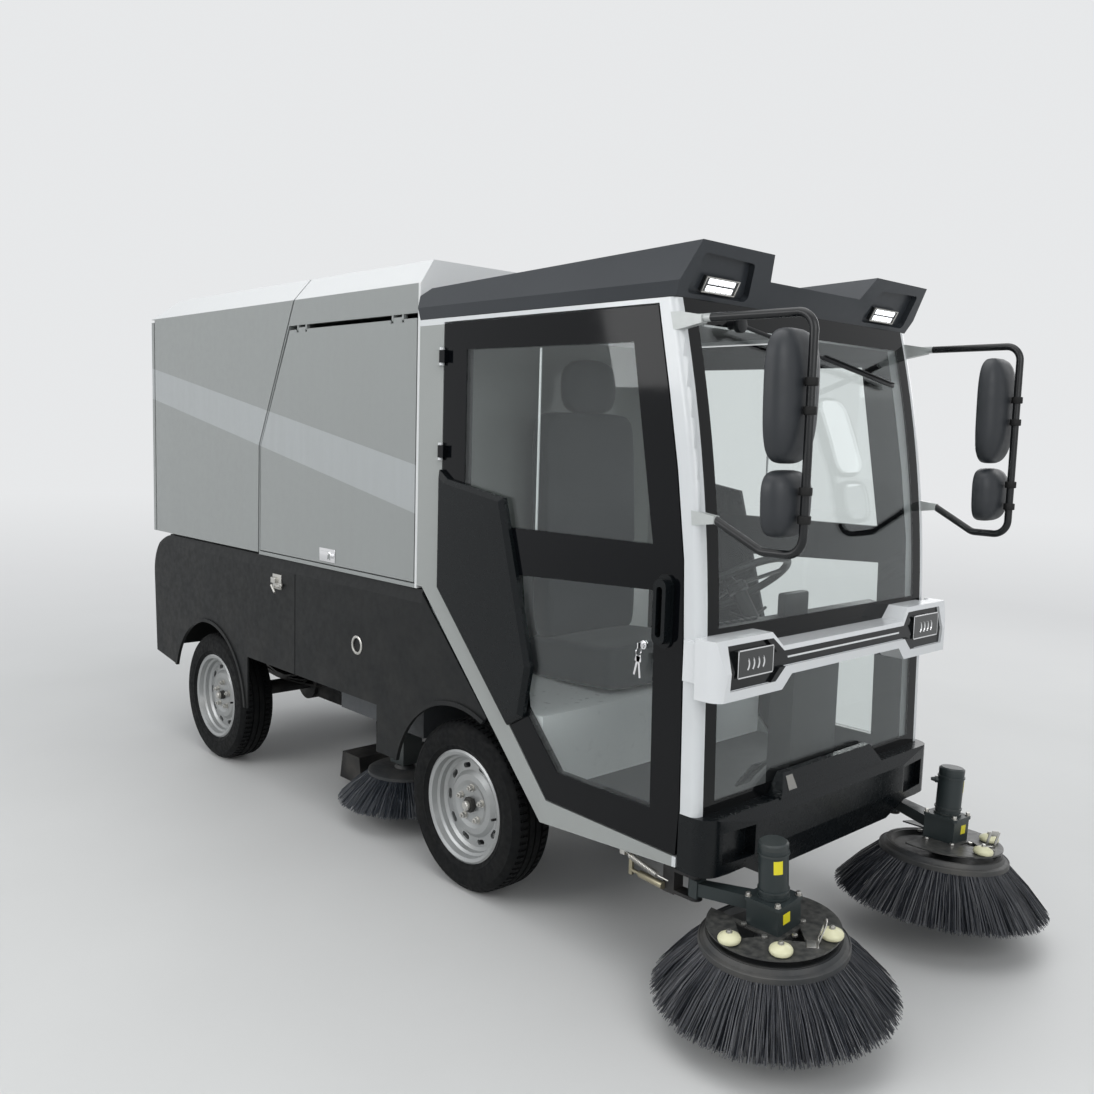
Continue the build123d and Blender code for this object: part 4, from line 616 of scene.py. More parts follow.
# Tyres: moulded profile with two grooves, cross slots in the shoulders and rings on the wall
TYRE_STEPS = 144
SHOULDER_R = 0.2885
SHOULDER_BAND = (0.0315, 0.0600)
SLOT_EDGE, SLOT_DEPTH = 0.0022, 0.0055
TYRE_HALF = [
    (0.2855, 0.0000), (0.2855, 0.0030), (0.2930, 0.0038), (0.2930, 0.0240), (0.2860, 0.0248),
    (0.2860, 0.0305), (0.2928, 0.0313), (0.2915, 0.0540), (0.2880, 0.0620), (0.2800, 0.0715),
    (0.2690, 0.0775), (0.2670, 0.0795), (0.2640, 0.0795), (0.2620, 0.0795), (0.2350, 0.0822),
    (0.2200, 0.0800), (0.2140, 0.0790), (0.2110, 0.0800), (0.2080, 0.0770), (0.1960, 0.0700),
    (0.1835, 0.0610),
]


def tread_tyre_into(bm):
    profile = TYRE_HALF + [(radius, -height) for radius, height in reversed(TYRE_HALF[1:])]
    lathe_into(bm, profile, steps=TYRE_STEPS)
    bmesh.ops.recalc_face_normals(bm, faces=bm.faces)
    blocks = []
    for face in bm.faces:
        middle = face.calc_center_median()
        on_shoulder = middle.xy.length > SHOULDER_R and SHOULDER_BAND[0] < abs(middle.z) < SHOULDER_BAND[1]
        if on_shoulder and tread_step(middle) % 2 == 0:
            blocks.append(face)
    bmesh.ops.inset_individual(bm, faces=blocks, thickness=SLOT_EDGE, depth=-SLOT_DEPTH,
                               use_even_offset=True)


def tread_step(point):
    """Which of the tread's steps round the tyre a point lies in."""
    return int(atan2(point.y, point.x) % tau / tau * TYRE_STEPS)


def wheel_nuts_into(bm):
    """Five wheel nuts on washers, with the ends of their studs."""
    count, ring_radius, first_turn = 5, 0.058, 0.3
    for index in range(count):
        nut = turned(tau * index / count + first_turn) @ at(ring_radius, 0, HUB_FACE)
        drum_into(bm, 0.0135, 0.003, nut, segments=20)
        drum_into(bm, 0.0105, 0.014, nut, 0.003, segments=6, bevel=0.001)
        drum_into(bm, 0.0055, 0.006, nut, 0.017, segments=12, top_radius=0.0045)


def hub_end_into(bm):
    """Domed axle end inside two rings."""
    dome = [(0.0, 0.064), (0.011, 0.064), (0.014, 0.060), (0.014, 0.049), (0.0, 0.049)]
    lathe_into(bm, dome, steps=20, closed=False)
    for height in (0.0505, 0.0565):
        drum_into(bm, 0.0165, 0.003, start=height, segments=24)


def valve_into(bm):
    stem = stood_along((0.166, 0, 0.040), (0.156, 0, 0.082))
    drum_into(bm, 0.0055, 0.026, stem, segments=12, top_radius=0.004)
    drum_into(bm, 0.0045, 0.010, stem, 0.026, segments=12, bevel=0.0008)


WHEEL_PIECES = (
    (tread_tyre_into, "tyre", "tyre_rubber"),
    (wheel_nuts_into, "zinc", "rim_silver"),
    (hub_end_into, "zinc", "axle_steel"),
    (valve_into, "rubber", "plastic_black"),
)
for axle, axle_x in WHEEL_X.items():
    for side, sign in SIDES:
        seat = axes_at((axle_x, sign * TRACK_HALF, WHEEL_R), (1, 0, 0), (0, sign, 0))
        for build, finish, slot in WHEEL_PIECES:
            bm = bmesh.new()
            build(bm)
            bmesh.ops.transform(bm, matrix=seat, verts=bm.verts)
            hidden = (f"tyre_{axle}_{side}",) if build is tread_tyre_into else ()
            name = f"{named_after(build)}_{axle}_{side}"
            dress(name, bm, finish, f"wheel_{axle}_{side}", hidden, 30)


# Brooms: thousands of filaments splayed from each disc
STRAND_R = 0.00115
ROOT_Z = -0.008
BULGE = 0.004
STRAY_DEPTH, STRAY_SIDE, STRAY_BEND, STRAY_TIP = 0.14, 0.012, 0.004, 0.009


def filament_into(bm, root, middle, tip, turn):
    """Thin three-sided strand through three points, its section turned about its root."""
    ring = bmesh.ops.create_circle(bm, segments=3, radius=STRAND_R, cap_ends=True,
                                   matrix=turned(turn))["verts"]
    bmesh.ops.translate(bm, vec=root, verts=ring)
    end = ring[0].link_faces[0]
    for step in (middle - root, tip - middle):
        grown = bmesh.ops.extrude_face_region(bm, geom=[end])["geom"]
        bmesh.ops.translate(bm, vec=step, verts=verts_in(grown))
        end = next(item for item in grown if isinstance(item, bmesh.types.BMFace))


def bristles_into(bm, seed, bundles, strands, copies, root_r, tip_r, drop):
    """Bundles of strands, each copied round the disc; radii are (inner, outer)."""
    chance = Random(seed)
    for bundle in range(bundles):
        for strand in range(strands):
            turn = tau / copies * (bundle + chance.random()) / bundles
            deep = chance.random()
            root = Vector((root_r[0] + (root_r[1] - root_r[0]) * deep, 0, ROOT_Z))
            spread = min(1, max(0, deep + chance.uniform(-STRAY_DEPTH, STRAY_DEPTH)))
            reach = tip_r[0] + (tip_r[1] - tip_r[0]) * spread
            aside = chance.uniform(-STRAY_SIDE, STRAY_SIDE)
            tip = Vector((reach, aside, chance.uniform(0.0, STRAY_TIP) - drop))
            middle = (root + tip) / 2 + Vector((BULGE, chance.uniform(-STRAY_BEND, STRAY_BEND), BULGE * 0.8))
            spin = Matrix.Rotation(turn, 3, "Z")
            filament_into(bm, spin @ root, spin @ middle, spin @ tip, chance.uniform(0, tau))
    bmesh.ops.spin(bm, geom=all_of(bm), cent=(0, 0, 0), axis=(0, 0, 1), angle=tau - tau / copies,
                   steps=copies - 1, use_duplicate=True)


BROOM_SEAT = axes_at(BROOM_PLACE, (1, 0, 0), (0, -sin(BROOM_LEAN), cos(BROOM_LEAN)))
MID_SEAT = Matrix.Translation(MID_PLACE)


def front_bristles_into(bm):
    bristles_into(bm, seed=11, bundles=7, strands=56, copies=14, root_r=(0.158, 0.194),
                  tip_r=(0.262, 0.327), drop=0.151)


def mid_bristles_into(bm):
    bristles_into(bm, seed=23, bundles=6, strands=40, copies=14, root_r=(0.106, 0.147),
                  tip_r=(0.210, 0.268), drop=0.119)


def mid_disc_into(bm):
    profile = [(0.0125, -0.010), (0.0125, 0.018), (0.036, 0.018), (0.046, 0.006), (0.140, 0.006),
               (0.150, 0.000), (0.150, -0.012), (0.140, -0.012)]
    lathe_into(bm, profile, MID_SEAT, 64)


pair(front_bristles_into, "bristle", "bristle", "broom", "broom_bristles", 0, BROOM_SEAT)
pair(mid_bristles_into, "bristle_blue", "bristle", "mid_broom", "mid_broom", 0, MID_SEAT)
pair(mid_disc_into, "disc", "bristle", "mid_broom")

# Broom fittings on the gear motor, guard and rollers
BOX_BASE = 0.041
BOX_TOP = BOX_BASE + 0.080
MOTOR_TOP = BOX_TOP + 0.148
MOTOR_R = 0.039
ROLLERS = ((-0.029, -0.150), (0.097, -0.105), (0.147, 0.046))
ROLLER_HIGH = 0.0255


def broom_bolts_into(bm):
    """Zinc screws: four on the gearbox flange, one on each roller, six round the guard."""
    flange_half, guard_bolts, guard_ring, first_turn = 0.046, 6, 0.078, -1.25
    for x in (-flange_half, flange_half):
        for y in (-flange_half, flange_half):
            bolt_into(bm, at(x, y, BOX_TOP), 0.009, 0.0068, 0.008)
    for x, y in ROLLERS:
        bolt_into(bm, at(x, y, BOX_BASE + ROLLER_HIGH), 0.0085, 0.0065, 0.005)
    for index in range(guard_bolts):
        turn = turned(tau * index / guard_bolts + first_turn)
        drum_into(bm, 0.008, 0.007, turn @ at(guard_ring, 0, BOX_BASE), segments=6, bevel=0.0008)


def slotted_bracket_into(bm):
    """Bent zinc bracket with an oblong slot, standing on the guard."""
    stand = BROOM_SEAT @ at(0.128, -0.020, BOX_BASE) @ turned(0.6)
    box_into(bm, (0.030, 0.036, 0.003), (0.004, 0, 0.0015), stand, 0.0006)
    tilt = stand @ turned(0.35, "Y")
    for y in (-0.014, 0.014):
        box_into(bm, (0.003, 0.008, 0.075), (0.012, y, 0.0375), tilt, 0.0006)
    for z in (0.010, 0.069):
        box_into(bm, (0.003, 0.020, 0.020), (0.012, 0, z), tilt, 0.0006)


def motor_trim_into(bm):
    """Cap, seam rings and cable gland of the motor."""
    cap_r, cap_high, cap_low = MOTOR_R + 0.0005, MOTOR_TOP + 0.004, MOTOR_TOP - 0.012
    cap = [(0.0, cap_high), (0.034, cap_high), (cap_r, MOTOR_TOP - 0.001), (cap_r, cap_low), (0.0, cap_low)]
    lathe_into(bm, cap, steps=40, closed=False)
    inner, outer = MOTOR_R - 0.001, MOTOR_R + 0.003
    for height in (BOX_TOP, BOX_TOP + 0.018, MOTOR_TOP - 0.030):
        ring = [(inner, height), (outer, height + 0.001), (outer, height + 0.006), (inner, height + 0.007)]
        lathe_into(bm, ring, steps=40)
    gland = turned(2.5) @ at(MOTOR_R - 0.002, 0, MOTOR_TOP - 0.042) @ turned(pi / 2, "Y")
    drum_into(bm, 0.011, 0.012, gland, segments=6, bevel=0.001)
    drum_into(bm, 0.008, 0.012, gland, 0.012, segments=16, top_radius=0.005)


def yellow_patches_into(bm):
    """Two blank patches, one bent round the motor and one on the gearbox."""
    low, high = MOTOR_TOP - 0.072, MOTOR_TOP - 0.036
    inner, outer = MOTOR_R + 0.0002, MOTOR_R + 0.0009
    patch = [(inner, low), (outer, low), (outer, high), (inner, high)]
    lathe_into(bm, patch, turned(-0.95), 8, True, 0.62)
    box_into(bm, (0.0008, 0.030, 0.028), (0.0503, -0.014, BOX_BASE + 0.040))


def disc_rim_into(bm):
    """Rolled edge of the broom disc and a bead inside it."""
    edge = [(0.192, -0.001), (0.195, 0.003), (0.198, 0.001), (0.198, -0.009), (0.195, -0.011),
            (0.192, -0.007)]
    bead = [(0.1675, 0.0125), (0.169, 0.0165), (0.173, 0.0165), (0.1745, 0.0125)]
    for ring in (edge, bead):
        lathe_into(bm, ring, BROOM_SEAT, 72)


def guide_rollers_into(bm):
    """Domed guide rollers with a flat rim."""
    profile = [(0.0, 0.0), (0.022, 0.0), (0.028, 0.003), (0.030, 0.007), (0.030, 0.012), (0.027, 0.017),
               (0.016, 0.023), (0.009, ROLLER_HIGH), (0.0, ROLLER_HIGH)]
    for x, y in ROLLERS:
        lathe_into(bm, profile, BROOM_SEAT @ at(x, y, BOX_BASE), 40, False)


pair(guide_rollers_into, "cream", "roller_cream", "broom_arm", "broom_rollers")
pair(broom_bolts_into, "zinc", "motor_grey", "broom_arm", stand=BROOM_SEAT)
pair(slotted_bracket_into, "zinc", "motor_grey", "broom_arm")
pair(motor_trim_into, "motor", "motor_grey", "broom_arm", stand=BROOM_SEAT)
pair(yellow_patches_into, "yellow", "motor_grey", "broom_arm", stand=BROOM_SEAT)
pair(disc_rim_into, "disc", "disc_grey", "broom")


# Springs and struts that pull the arm, held on the frame behind the bumper
def arm_spring_into(bm):
    lie = stood_along((1.238, -0.560, 0.372), (1.352, -0.566, 0.350))
    coil_into(bm, 0.0018, 0.0085, 0.112, 20, lie)
    for start, end in (((1.205, -0.556, 0.378), (1.240, -0.560, 0.372)),
                       ((1.350, -0.566, 0.350), (1.384, -0.562, 0.345))):
        run = (Vector(end) - Vector(start)).length
        drum_into(bm, 0.0022, run, stood_along(start, end), segments=10)
    box_into(bm, (0.020, 0.012, 0.060), (1.205, -0.552, 0.392), bevel=0.002)


def arm_strut_into(bm):
    start, end = Vector((1.262, -0.540, 0.318)), Vector((1.362, -0.5555, 0.322))
    drum_into(bm, 0.011, (end - start).length, stood_along(start, end), segments=16, bevel=0.001)
    drum_into(bm, 0.0055, 0.040, stood_along(start, start * 2 - end), segments=12)
    box_into(bm, (0.014, 0.010, 0.084), (1.222, -0.534, 0.344), bevel=0.002)


pair(arm_spring_into, "zinc", "spring_steel")
pair(arm_strut_into, "dull_zinc", "spring_steel")

# Lamps: crescents and borders of the head lamps, cells of the work lamps
LAMP_Y = -0.455
LAMP_Z = 0.979
LAMP_FACE_X = 1.5645
WORK_LAMP_Y = -0.423
WORK_LAMP_UP = 0.043
VISOR_NORMAL = Vector((VISOR_UP.z, 0, -VISOR_UP.x))
WORK_LAMP_FACE = axes_at(VISOR_ORIGIN - VISOR_NORMAL * 0.008, (0, 1, 0), VISOR_NORMAL)


def border_into(bm, stand, across, up, wide, tall, deep, bevel):
    """Four thin bars round a lamp, across and up from its middle."""
    bar = 0.004
    for size, place in (((wide, bar, deep), (0, up, 0)), ((wide, bar, deep), (0, -up, 0)),
                        ((bar, tall, deep), (across, 0, 0)), ((bar, tall, deep), (-across, 0, 0))):
        box_into(bm, size, place, stand, bevel)


def head_lamp_trim_into(bm):
    stand = axes_at((LAMP_FACE_X - 0.002, LAMP_Y, LAMP_Z), (0, 1, 0), (1, 0, 0))
    border_into(bm, stand, 0.076, 0.036, 0.156, 0.076, 0.002, 0.0007)


def lamp_crescents_into(bm):
    """Four bright crescents in each head lamp, all bent the same way."""
    count, first_y, gap, turn, sweep = 4, -0.052, 0.022, radians(-138), radians(96)
    section = [(0.0185, 0.0), (0.0235, 0.0), (0.022, 0.0025), (0.020, 0.0025)]
    for lamp_y in (LAMP_Y, -LAMP_Y):
        for step in range(count):
            middle = (LAMP_FACE_X - 0.001, lamp_y + first_y + gap * step, LAMP_Z - 0.002)
            stand = axes_at(middle, (0, 0, 1), (1, 0, 0)) @ turned(turn)
            lathe_into(bm, section, stand, 14, True, sweep)


def work_lamp_cells_into(bm):
    """Two rows of five cells."""
    columns, pitch, row_half = 5, 0.023, 0.010
    for row in (-row_half, row_half):
        for column in range(columns):
            across = WORK_LAMP_Y + pitch * (column - columns // 2)
            box_into(bm, (0.019, 0.015, 0.003), (across, WORK_LAMP_UP + row, 0.001), WORK_LAMP_FACE, 0.0012)


def work_lamp_border_into(bm):
    stand = WORK_LAMP_FACE @ at(WORK_LAMP_Y, WORK_LAMP_UP, 0.001)
    border_into(bm, stand, 0.0695, 0.0205, 0.142, 0.042, 0.005, 0.001)


pair(head_lamp_trim_into, "chrome", "lamp")
single(lamp_crescents_into, "chrome")
pair(work_lamp_cells_into, "led", "lamp")
pair(work_lamp_border_into, "zinc", "lamp")


# Mirrors: smooth shells domed to the front, bright faces behind and clamps on the tube
MIRROR_ROWS = ((1.505, 1.830, -0.645, -0.455), (1.325, 1.490, -0.635, -0.465))
SHELL_BACK_X = MIRROR_X - 0.080
SHELL_DEEP = 0.062


def mirror_shells_into(bm):
    """Smooth shells on both sides, flat towards the driver and domed in front."""
    forward = axes_at((SHELL_BACK_X + SHELL_DEEP / 2, 0, 0), (0, 1, 0), (1, 0, 0))
    for low_z, high_z, outer_y, inner_y in MIRROR_ROWS:
        size = (inner_y - outer_y, high_z - low_z, SHELL_DEEP)
        place = ((outer_y + inner_y) / 2, (low_z + high_z) / 2, 0)
        rounded_into(bm, size, place, forward, back=0.25, taper=0.05)
    copies = bmesh.ops.duplicate(bm, geom=all_of(bm))["geom"]
    bmesh.ops.scale(bm, vec=(1, -1, 1), verts=verts_in(copies))


def mirror_faces_into(bm):
    """Thin plates with round corners."""
    thick, side_edge, end_edge, corner_r = 0.002, 0.036, 0.030, 0.048
    for low_z, high_z, outer_y, inner_y in MIRROR_ROWS:
        size = (thick, inner_y - outer_y - side_edge, high_z - low_z - end_edge)
        box_into(bm, size, (SHELL_BACK_X - thick / 2, (outer_y + inner_y) / 2, (low_z + high_z) / 2))
        corners = [edge for edge in bm.edges
                   if abs(edge.verts[0].co.x - edge.verts[1].co.x) > thick * 0.75
                   and all(low_z < vert.co.z < high_z for vert in edge.verts)]
        soften(bm, corners, corner_r, 8)


def mirror_clamps_into(bm):
    for middle_z in (1.6675, 1.4075):
        for offset in (-0.034, 0.034):
            stand = at(MIRROR_X, -0.560, middle_z + offset - 0.010)
            drum_into(bm, 0.0165, 0.020, stand, segments=20, bevel=0.002)


single(mirror_shells_into, "mirror_shell", "chassis", ("mirror_heads",), 50)
pair(mirror_faces_into, "mirror", "plastic_black")
pair(mirror_clamps_into, "rubber", "plastic_black")


# Wiper blade across the top of the screen
def wiper_blade_into(bm):
    start, end = Vector((1.411, 0.010, 1.805)), Vector((1.414, 0.420, 1.741))
    lie = stood_along(start, end)
    run = (end - start).length
    box_into(bm, (0.010, 0.012, run), (0, 0, run / 2), lie, 0.003)
    box_into(bm, (0.020, 0.004, run * 0.96), (0, -0.007, run / 2), lie, 0.0015)
    pivot = axes_at((1.392, -0.378, 1.867), (0, 1, 0), (1, 0, 0))
    drum_into(bm, 0.022, 0.018, pivot, segments=24, bevel=0.003)


single(wiper_blade_into, "black_plastic")


# Door: lock with its key ring, sliding edge of the window, rubber seals round the panes
def door_lock_into(bm):
    face = side_face(1.292, 0.995, BODY_HALF - 0.002)
    drum_into(bm, 0.0125, 0.010, face, segments=24, bevel=0.0015)
    drum_into(bm, 0.0085, 0.006, face, 0.010, segments=20, bevel=0.001)
    box_into(bm, (0.004, 0.016, 0.020), (0, 0, 0.022), face, 0.001)
    ring = face @ at(0, -0.016, 0.026) @ turned(pi / 2, "Y")
    lathe_into(bm, [(0.010, -0.0008), (0.0116, -0.0008), (0.0116, 0.0008), (0.010, 0.0008)], ring, 24)
    for tilt, length in ((0.12, 0.045), (-0.25, 0.040)):
        hang = face @ at(0, -0.026, 0.026) @ turned(tilt)
        box_into(bm, (0.018, 0.018, 0.0022), (0, -0.010, 0), hang, 0.0008)
        box_into(bm, (0.007, length, 0.0022), (0, -0.018 - length / 2, 0), hang, 0.0006)


def sliding_edge_into(bm):
    box_into(bm, (0.008, 0.004, 0.545), (0.828, -BODY_HALF + 0.0105, 1.541), bevel=0.0008)


# Outlines of the door's panes, as (x, z)
UPPER_WINDOW = ((0.487, 1.819), (1.211, 1.814), (1.307, 1.273), (0.487, 1.265))
LOWER_WINDOW = ((0.752, 1.123), (1.319, 1.149), (1.332, 0.547), (0.960, 0.547), (0.803, 0.714))


def window_seals_into(bm):
    """Thin rubber lip round each pane."""
    for outline in (UPPER_WINDOW, LOWER_WINDOW):
        flat_ring_into(bm, [(x, -BODY_HALF - 0.0006, z) for x, z in outline], 0.007, 0.0016)


pair(door_lock_into, "chrome", "door_black", "door")
pair(sliding_edge_into, "white", "door_black", "door")
pair(window_seals_into, "rubber", "door_black", "door", smooth=0)


# Paddle latch on each hatch, and toggle latch and ring on each skirt
def paddle_latch_into(bm):
    face = side_face(-0.359, 1.066, CONTAINER_HALF)
    box_into(bm, (0.112, 0.052, 0.004), (0, 0, 0.002), face, 0.0015)
    box_into(bm, (0.070, 0.034, 0.006), (-0.012, -0.002, 0.006), face, 0.002)
    drum_into(bm, 0.009, 0.006, face @ at(0.040, 0, 0.004), segments=20, bevel=0.001)
    box_into(bm, (0.0025, 0.020, 0.018), (0.040, 0, 0.018), face, 0.0006)


def toggle_latch_into(bm):
    face = side_face(-0.739, 0.905)
    box_into(bm, (0.070, 0.062, 0.004), (-0.004, 0.010, 0.002), face, 0.0012)
    box_into(bm, (0.034, 0.024, 0.014), (-0.016, 0.016, 0.010), face, 0.002)
    box_into(bm, (0.060, 0.012, 0.008), (0.022, -0.010, 0.012), face @ turned(0.25), 0.002)
    drum_into(bm, 0.006, 0.012, face @ at(0.044, 0.002, 0.004), segments=16, bevel=0.001)
    drum_into(bm, 0.0045, 0.046, stood_along((-0.760, -0.612, 0.900), (-0.724, -0.616, 0.874)), segments=12)


def skirt_ring_into(bm):
    ring = [(0.026, -0.003), (0.036, -0.003), (0.036, 0.002), (0.033, 0.004), (0.028, 0.004), (0.026, 0.002)]
    lathe_into(bm, ring, side_face(-0.140, 0.750), 40)


pair(paddle_latch_into, "chrome", "body_grey", "hatch")
pair(toggle_latch_into, "zinc", "skirt_black")
pair(skirt_ring_into, "zinc", "skirt_black")


# Bumper trim: a bright slanted patch at one end of the pad and a small bright triangle at the other
PAD_FOOT = (1.538, 0.572)
PAD_LEAN = -0.022 / 0.046
PAD_PROUD = 0.0012


def on_pad(y, z):
    """Point just proud of the pad's slanting front."""
    return (PAD_FOOT[0] + (z - PAD_FOOT[1]) * PAD_LEAN + PAD_PROUD, y, z)


def bumper_patch_into(bm):
    outline = ((-0.232, 0.573), (-0.192, 0.573), (-0.194, 0.610), (-0.226, 0.610))
    face = bm.faces.new([bm.verts.new(on_pad(y, z)) for y, z in outline])
    bmesh.ops.solidify(bm, geom=[face], thickness=-0.0015)


def bumper_triangle_into(bm):
    outline = ((0.180, 0.574), (0.224, 0.576), (0.190, 0.613))
    flat_ring_into(bm, [on_pad(y, z) for y, z in outline], 0.0050, -0.0012)


single(bumper_patch_into, "zinc", smooth=0)
single(bumper_triangle_into, "zinc", smooth=0)


# Seat: padded cushion, back and head rest with sewn channels
CROWN = 0.012
CHANNEL_HALF, CHANNEL_DEPTH = 0.012, 0.010
DRAWN_IN = 0.06


def pad_into(bm, size, matrix, channels):
    """Padded block, crowned on its upper face, drawn in along its channels and rounded all over."""
    cuts, smoothings = 18, 5
    made = bmesh.ops.create_cube(bm, size=1)["verts"]
    bmesh.ops.scale(bm, vec=size, verts=made)
    bmesh.ops.subdivide_edges(bm, edges=edges_of(made), cuts=cuts, use_grid_fill=True)
    half_x, half_y, half_z = (value / 2 for value in size)
    fresh = [vert for vert in bm.verts if not vert.tag]
    for vert in fresh:
        x, y, z = vert.co
        across, along = x / half_x, y / half_y
        swell = (1 - across ** 4) * (1 - along ** 4)
        groove = sum(max(0, 1 - abs(y - channel) / CHANNEL_HALF) for channel in channels)
        if z > half_z * 0.9:
            vert.co.z += CROWN * swell - CHANNEL_DEPTH * groove * swell
        vert.co.y *= 1 - DRAWN_IN * (abs(across) ** 3) * (abs(z) / half_z) ** 2
        vert.co.x *= 1 - DRAWN_IN * (abs(along) ** 3) * (abs(z) / half_z) ** 2
    for step in range(smoothings):
        bmesh.ops.smooth_vert(bm, verts=fresh, factor=0.5, use_axis_x=True, use_axis_y=True, use_axis_z=True)
    bmesh.ops.transform(bm, matrix=matrix, verts=fresh)
    for vert in fresh:
        vert.tag = True


def padded_seat_into(bm):
    lying = axes_at((0.600, SEAT_Y, SEAT_BOX_TOP + 0.078), (0, 1, 0), (-0.05, 0, 1))
    pad_into(bm, (0.47, 0.44, 0.145), lying, (-0.10, 0.0, 0.10))
    leaning = axes_at((0.432, SEAT_Y, 1.225), (0, 1, 0), (1, 0, 0.05))
    pad_into(bm, (0.45, 0.82, 0.100), leaning, (-0.24, -0.08, 0.08, 0.24))
    resting = axes_at((0.430, SEAT_Y, 1.728), (0, 1, 0), (1, 0, 0.03))
    rounded_into(bm, (0.250, 0.198, 0.096), (0, 0, 0), resting, 3.0, 2.8)
    for post_y in (-0.05, 0.05):
        drum_into(bm, 0.006, 0.06, at(0.418, SEAT_Y + post_y, 1.600), segments=12)


seat = single(padded_seat_into, "cover", "chassis", ("driver_seat",), 60)


# Steering wheel: round ring, spokes and a domed boss
def steering_ring_into(bm):
    tilt, ring_r, grip_r, sides, spokes = radians(35), 0.180, 0.0125, 12, 3
    stand = axes_at((1.130, SEAT_Y, 1.090), (0, 1, 0), (-sin(tilt), 0, cos(tilt)))
    turns = [tau * step / sides for step in range(sides)]
    lathe_into(bm, [(ring_r + grip_r * cos(turn), grip_r * sin(turn)) for turn in turns], stand, 72)
    for spoke in range(spokes):
        turn = stand @ turned(pi / 2 + tau * spoke / spokes)
        box_into(bm, (0.150, 0.026, 0.008), (0.100, 0, -0.001), turn, 0.003)
    boss = [(0.0, 0.010), (0.024, 0.008), (0.034, 0.002), (0.034, -0.024), (0.0, -0.024)]
    lathe_into(bm, boss, stand, 40, False)


single(steering_ring_into, "black_plastic", "steering_wheel", ("steering_wheel",), 40)


# Dashboard with a display, switches and two stalks, and the pedals
def dash_trim_into(bm):
    box_into(bm, (0.030, 0.130, 0.080), (1.350, SEAT_Y, 1.058), bevel=0.008)
    for step in range(6):
        box_into(bm, (0.014, 0.022, 0.014), (1.335, -0.32 + 0.032 * step, 1.028), bevel=0.002)
    for y in (SEAT_Y - 0.075, SEAT_Y + 0.075):
        stalk = stood_along((1.195, SEAT_Y, 0.985), (1.185, y, 1.010))
        drum_into(bm, 0.005, 0.100, stalk, segments=12, bevel=0.001)


def pedals_into(bm):
    for y in (-0.085, 0.105):
        tread = axes_at((1.300, y, 0.530), (0, 1, 0), (-0.8, 0, 0.6))
        box_into(bm, (0.070, 0.105, 0.008), (0, 0, 0), tread, 0.003)
        for rib in range(5):
            box_into(bm, (0.058, 0.005, 0.004), (0, -0.038 + 0.019 * rib, 0.006), tread, 0.001)
        drum_into(bm, 0.007, 0.135, stood_along((1.304, y, 0.524), (1.392, y, 0.622)), segments=12)


single(dash_trim_into, "black_plastic")
single(pedals_into, "black_plastic")


# Tailgate: latches and pull bar
def gate_trim_into(bm):
    """Two flush latches and a pull bar, inside the sunk panel."""
    panel_x = -1.995
    for y in (-0.40, 0.40):
        box_into(bm, (0.003, 0.060, 0.090), (panel_x - 0.0015, y, 1.118), bevel=0.001)
        box_into(bm, (0.004, 0.024, 0.060), (panel_x - 0.0035, y, 1.108), bevel=0.0012)
    box_into(bm, (0.006, 0.260, 0.022), (panel_x - 0.003, 0, 1.245), bevel=0.0025)


single(gate_trim_into, "black_plastic", "tailgate")


# Stage: pale floor, soft light and the camera
BACKGROUND = (0.80, 0.81, 0.82)


def plainly_seen(made):
    """1 for what is seen straight on, in a reflection or through a pane."""
    straight, mirrored, through = (made.node("ShaderNodeLightPath", out=f"Is {ray} Ray")
                                   for ray in ("Camera", "Glossy", "Transmission"))
    return straight | mirrored | through


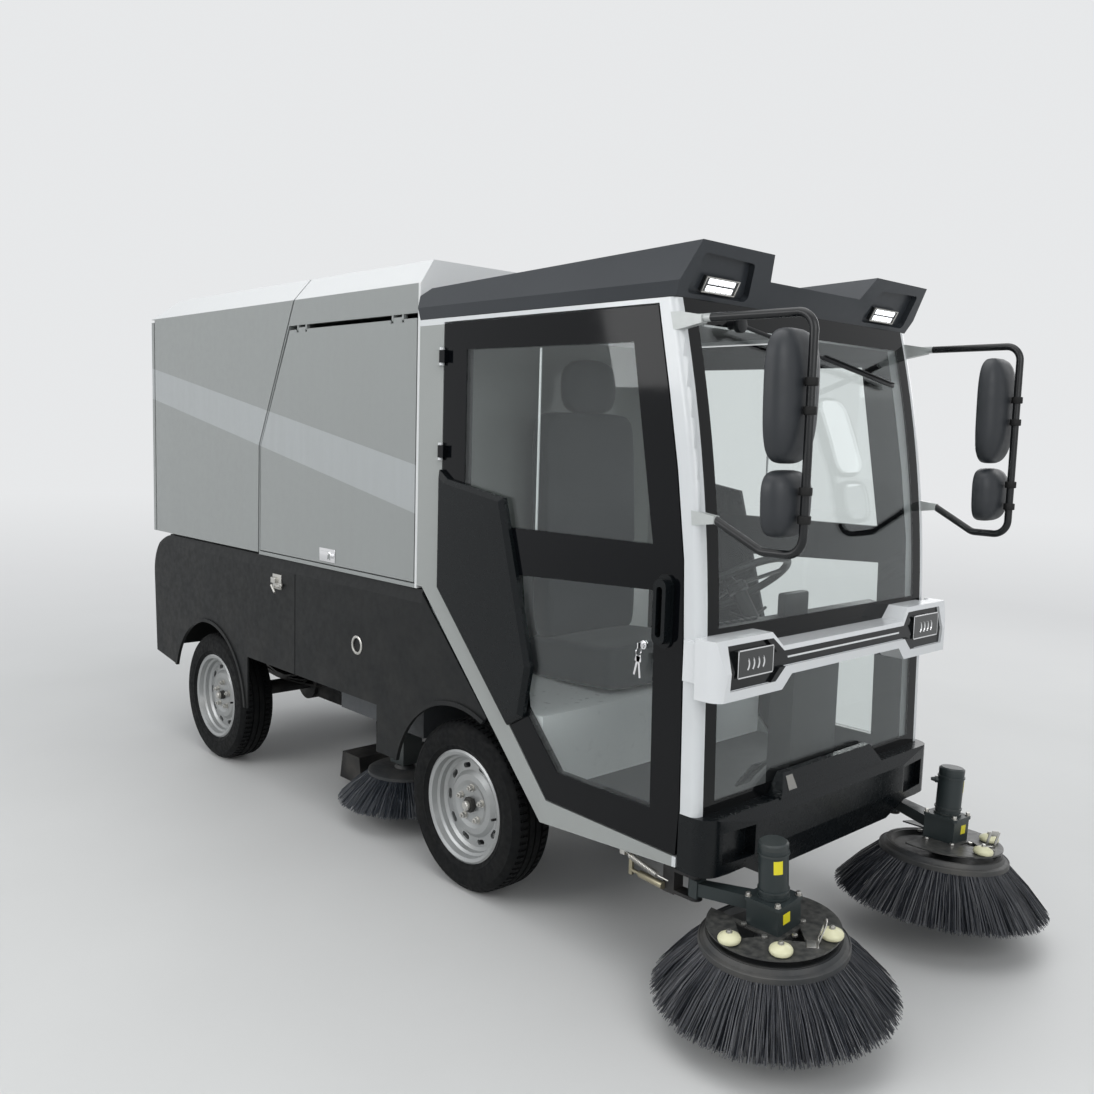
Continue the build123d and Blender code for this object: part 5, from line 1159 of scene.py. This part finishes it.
def floor_finish():
    """Matt floor that fades into the background far out."""
    made = Finish("pale floor")
    x, y = made.axes("XY")
    near = (x * x + y * y).maths("POWER", x * x + y * y, -0.5)
    far = made.span(near, 0.30, 0.05)
    base = made.mix(made.noise(1.2, 5), (0.62, 0.62, 0.61), (0.68, 0.68, 0.67))
    near_shader = made.shader(base, 0.55)
    glow = made.node("ShaderNodeEmission", inputs={"Color": BACKGROUND})
    return made.finish(made.blend(far * plainly_seen(made), near_shader, glow))


def make_floor():
    bm = bmesh.new()
    bmesh.ops.create_grid(bm, x_segments=1, y_segments=1, size=60)
    mesh = bpy.data.meshes.new("floor")
    bm.to_mesh(mesh)
    bm.free()
    mesh.materials.append(floor_finish())
    placed("floor", mesh)


def make_world():
    """Even light from all round, behind which the plain background is seen."""
    made = Finish("studio", bpy.data.worlds, "ShaderNodeOutputWorld")
    light = made.node("ShaderNodeBackground", inputs={"Color": (0.82, 0.86, 0.90), "Strength": 0.56})
    backdrop = made.node("ShaderNodeBackground", inputs={"Color": BACKGROUND})
    bpy.context.scene.world = made.finish(made.blend(plainly_seen(made), light, backdrop))


def area_light(name, place, target, size, power):
    lamp = bpy.data.lights.new(name, "AREA")
    lamp.shape = "RECTANGLE"
    lamp.size, lamp.size_y = size
    lamp.energy = power
    holder = placed(name, lamp)
    holder.location = place
    holder.rotation_euler = (Vector(target) - Vector(place)).to_track_quat("-Z", "Y").to_euler()


def make_camera():
    """Viewpoint at head height off the right front corner."""
    place = at(3.1875, -2.7309, 1.5714)
    turn, drop, roll = radians(47.065), radians(6.330), radians(1.614)
    lens = bpy.data.cameras.new("camera")
    lens.sensor_width = 36
    lens.sensor_fit = "HORIZONTAL"
    lens.lens = 34.81
    camera = placed("camera", lens)
    aim = turned(turn) @ turned(pi / 2 - drop, "X") @ turned(roll)
    camera.matrix_world = place @ aim
    bpy.context.scene.camera = camera


make_floor()
make_world()
area_light("sky", (0.5, -0.5, 6.0), (0, 0, 1), (6, 6), 165)
area_light("front", (5.5, -2.0, 3.2), (0.8, 0, 1), (3.5, 3), 80)
area_light("side", (-1.5, -6.0, 3.4), (-0.3, 0, 1), (5, 3), 135)
area_light("far_side", (0, 6.0, 3.5), (0, 0, 1), (5, 3), 80)
make_camera()
bpy.context.scene.view_settings.view_transform = "Standard"
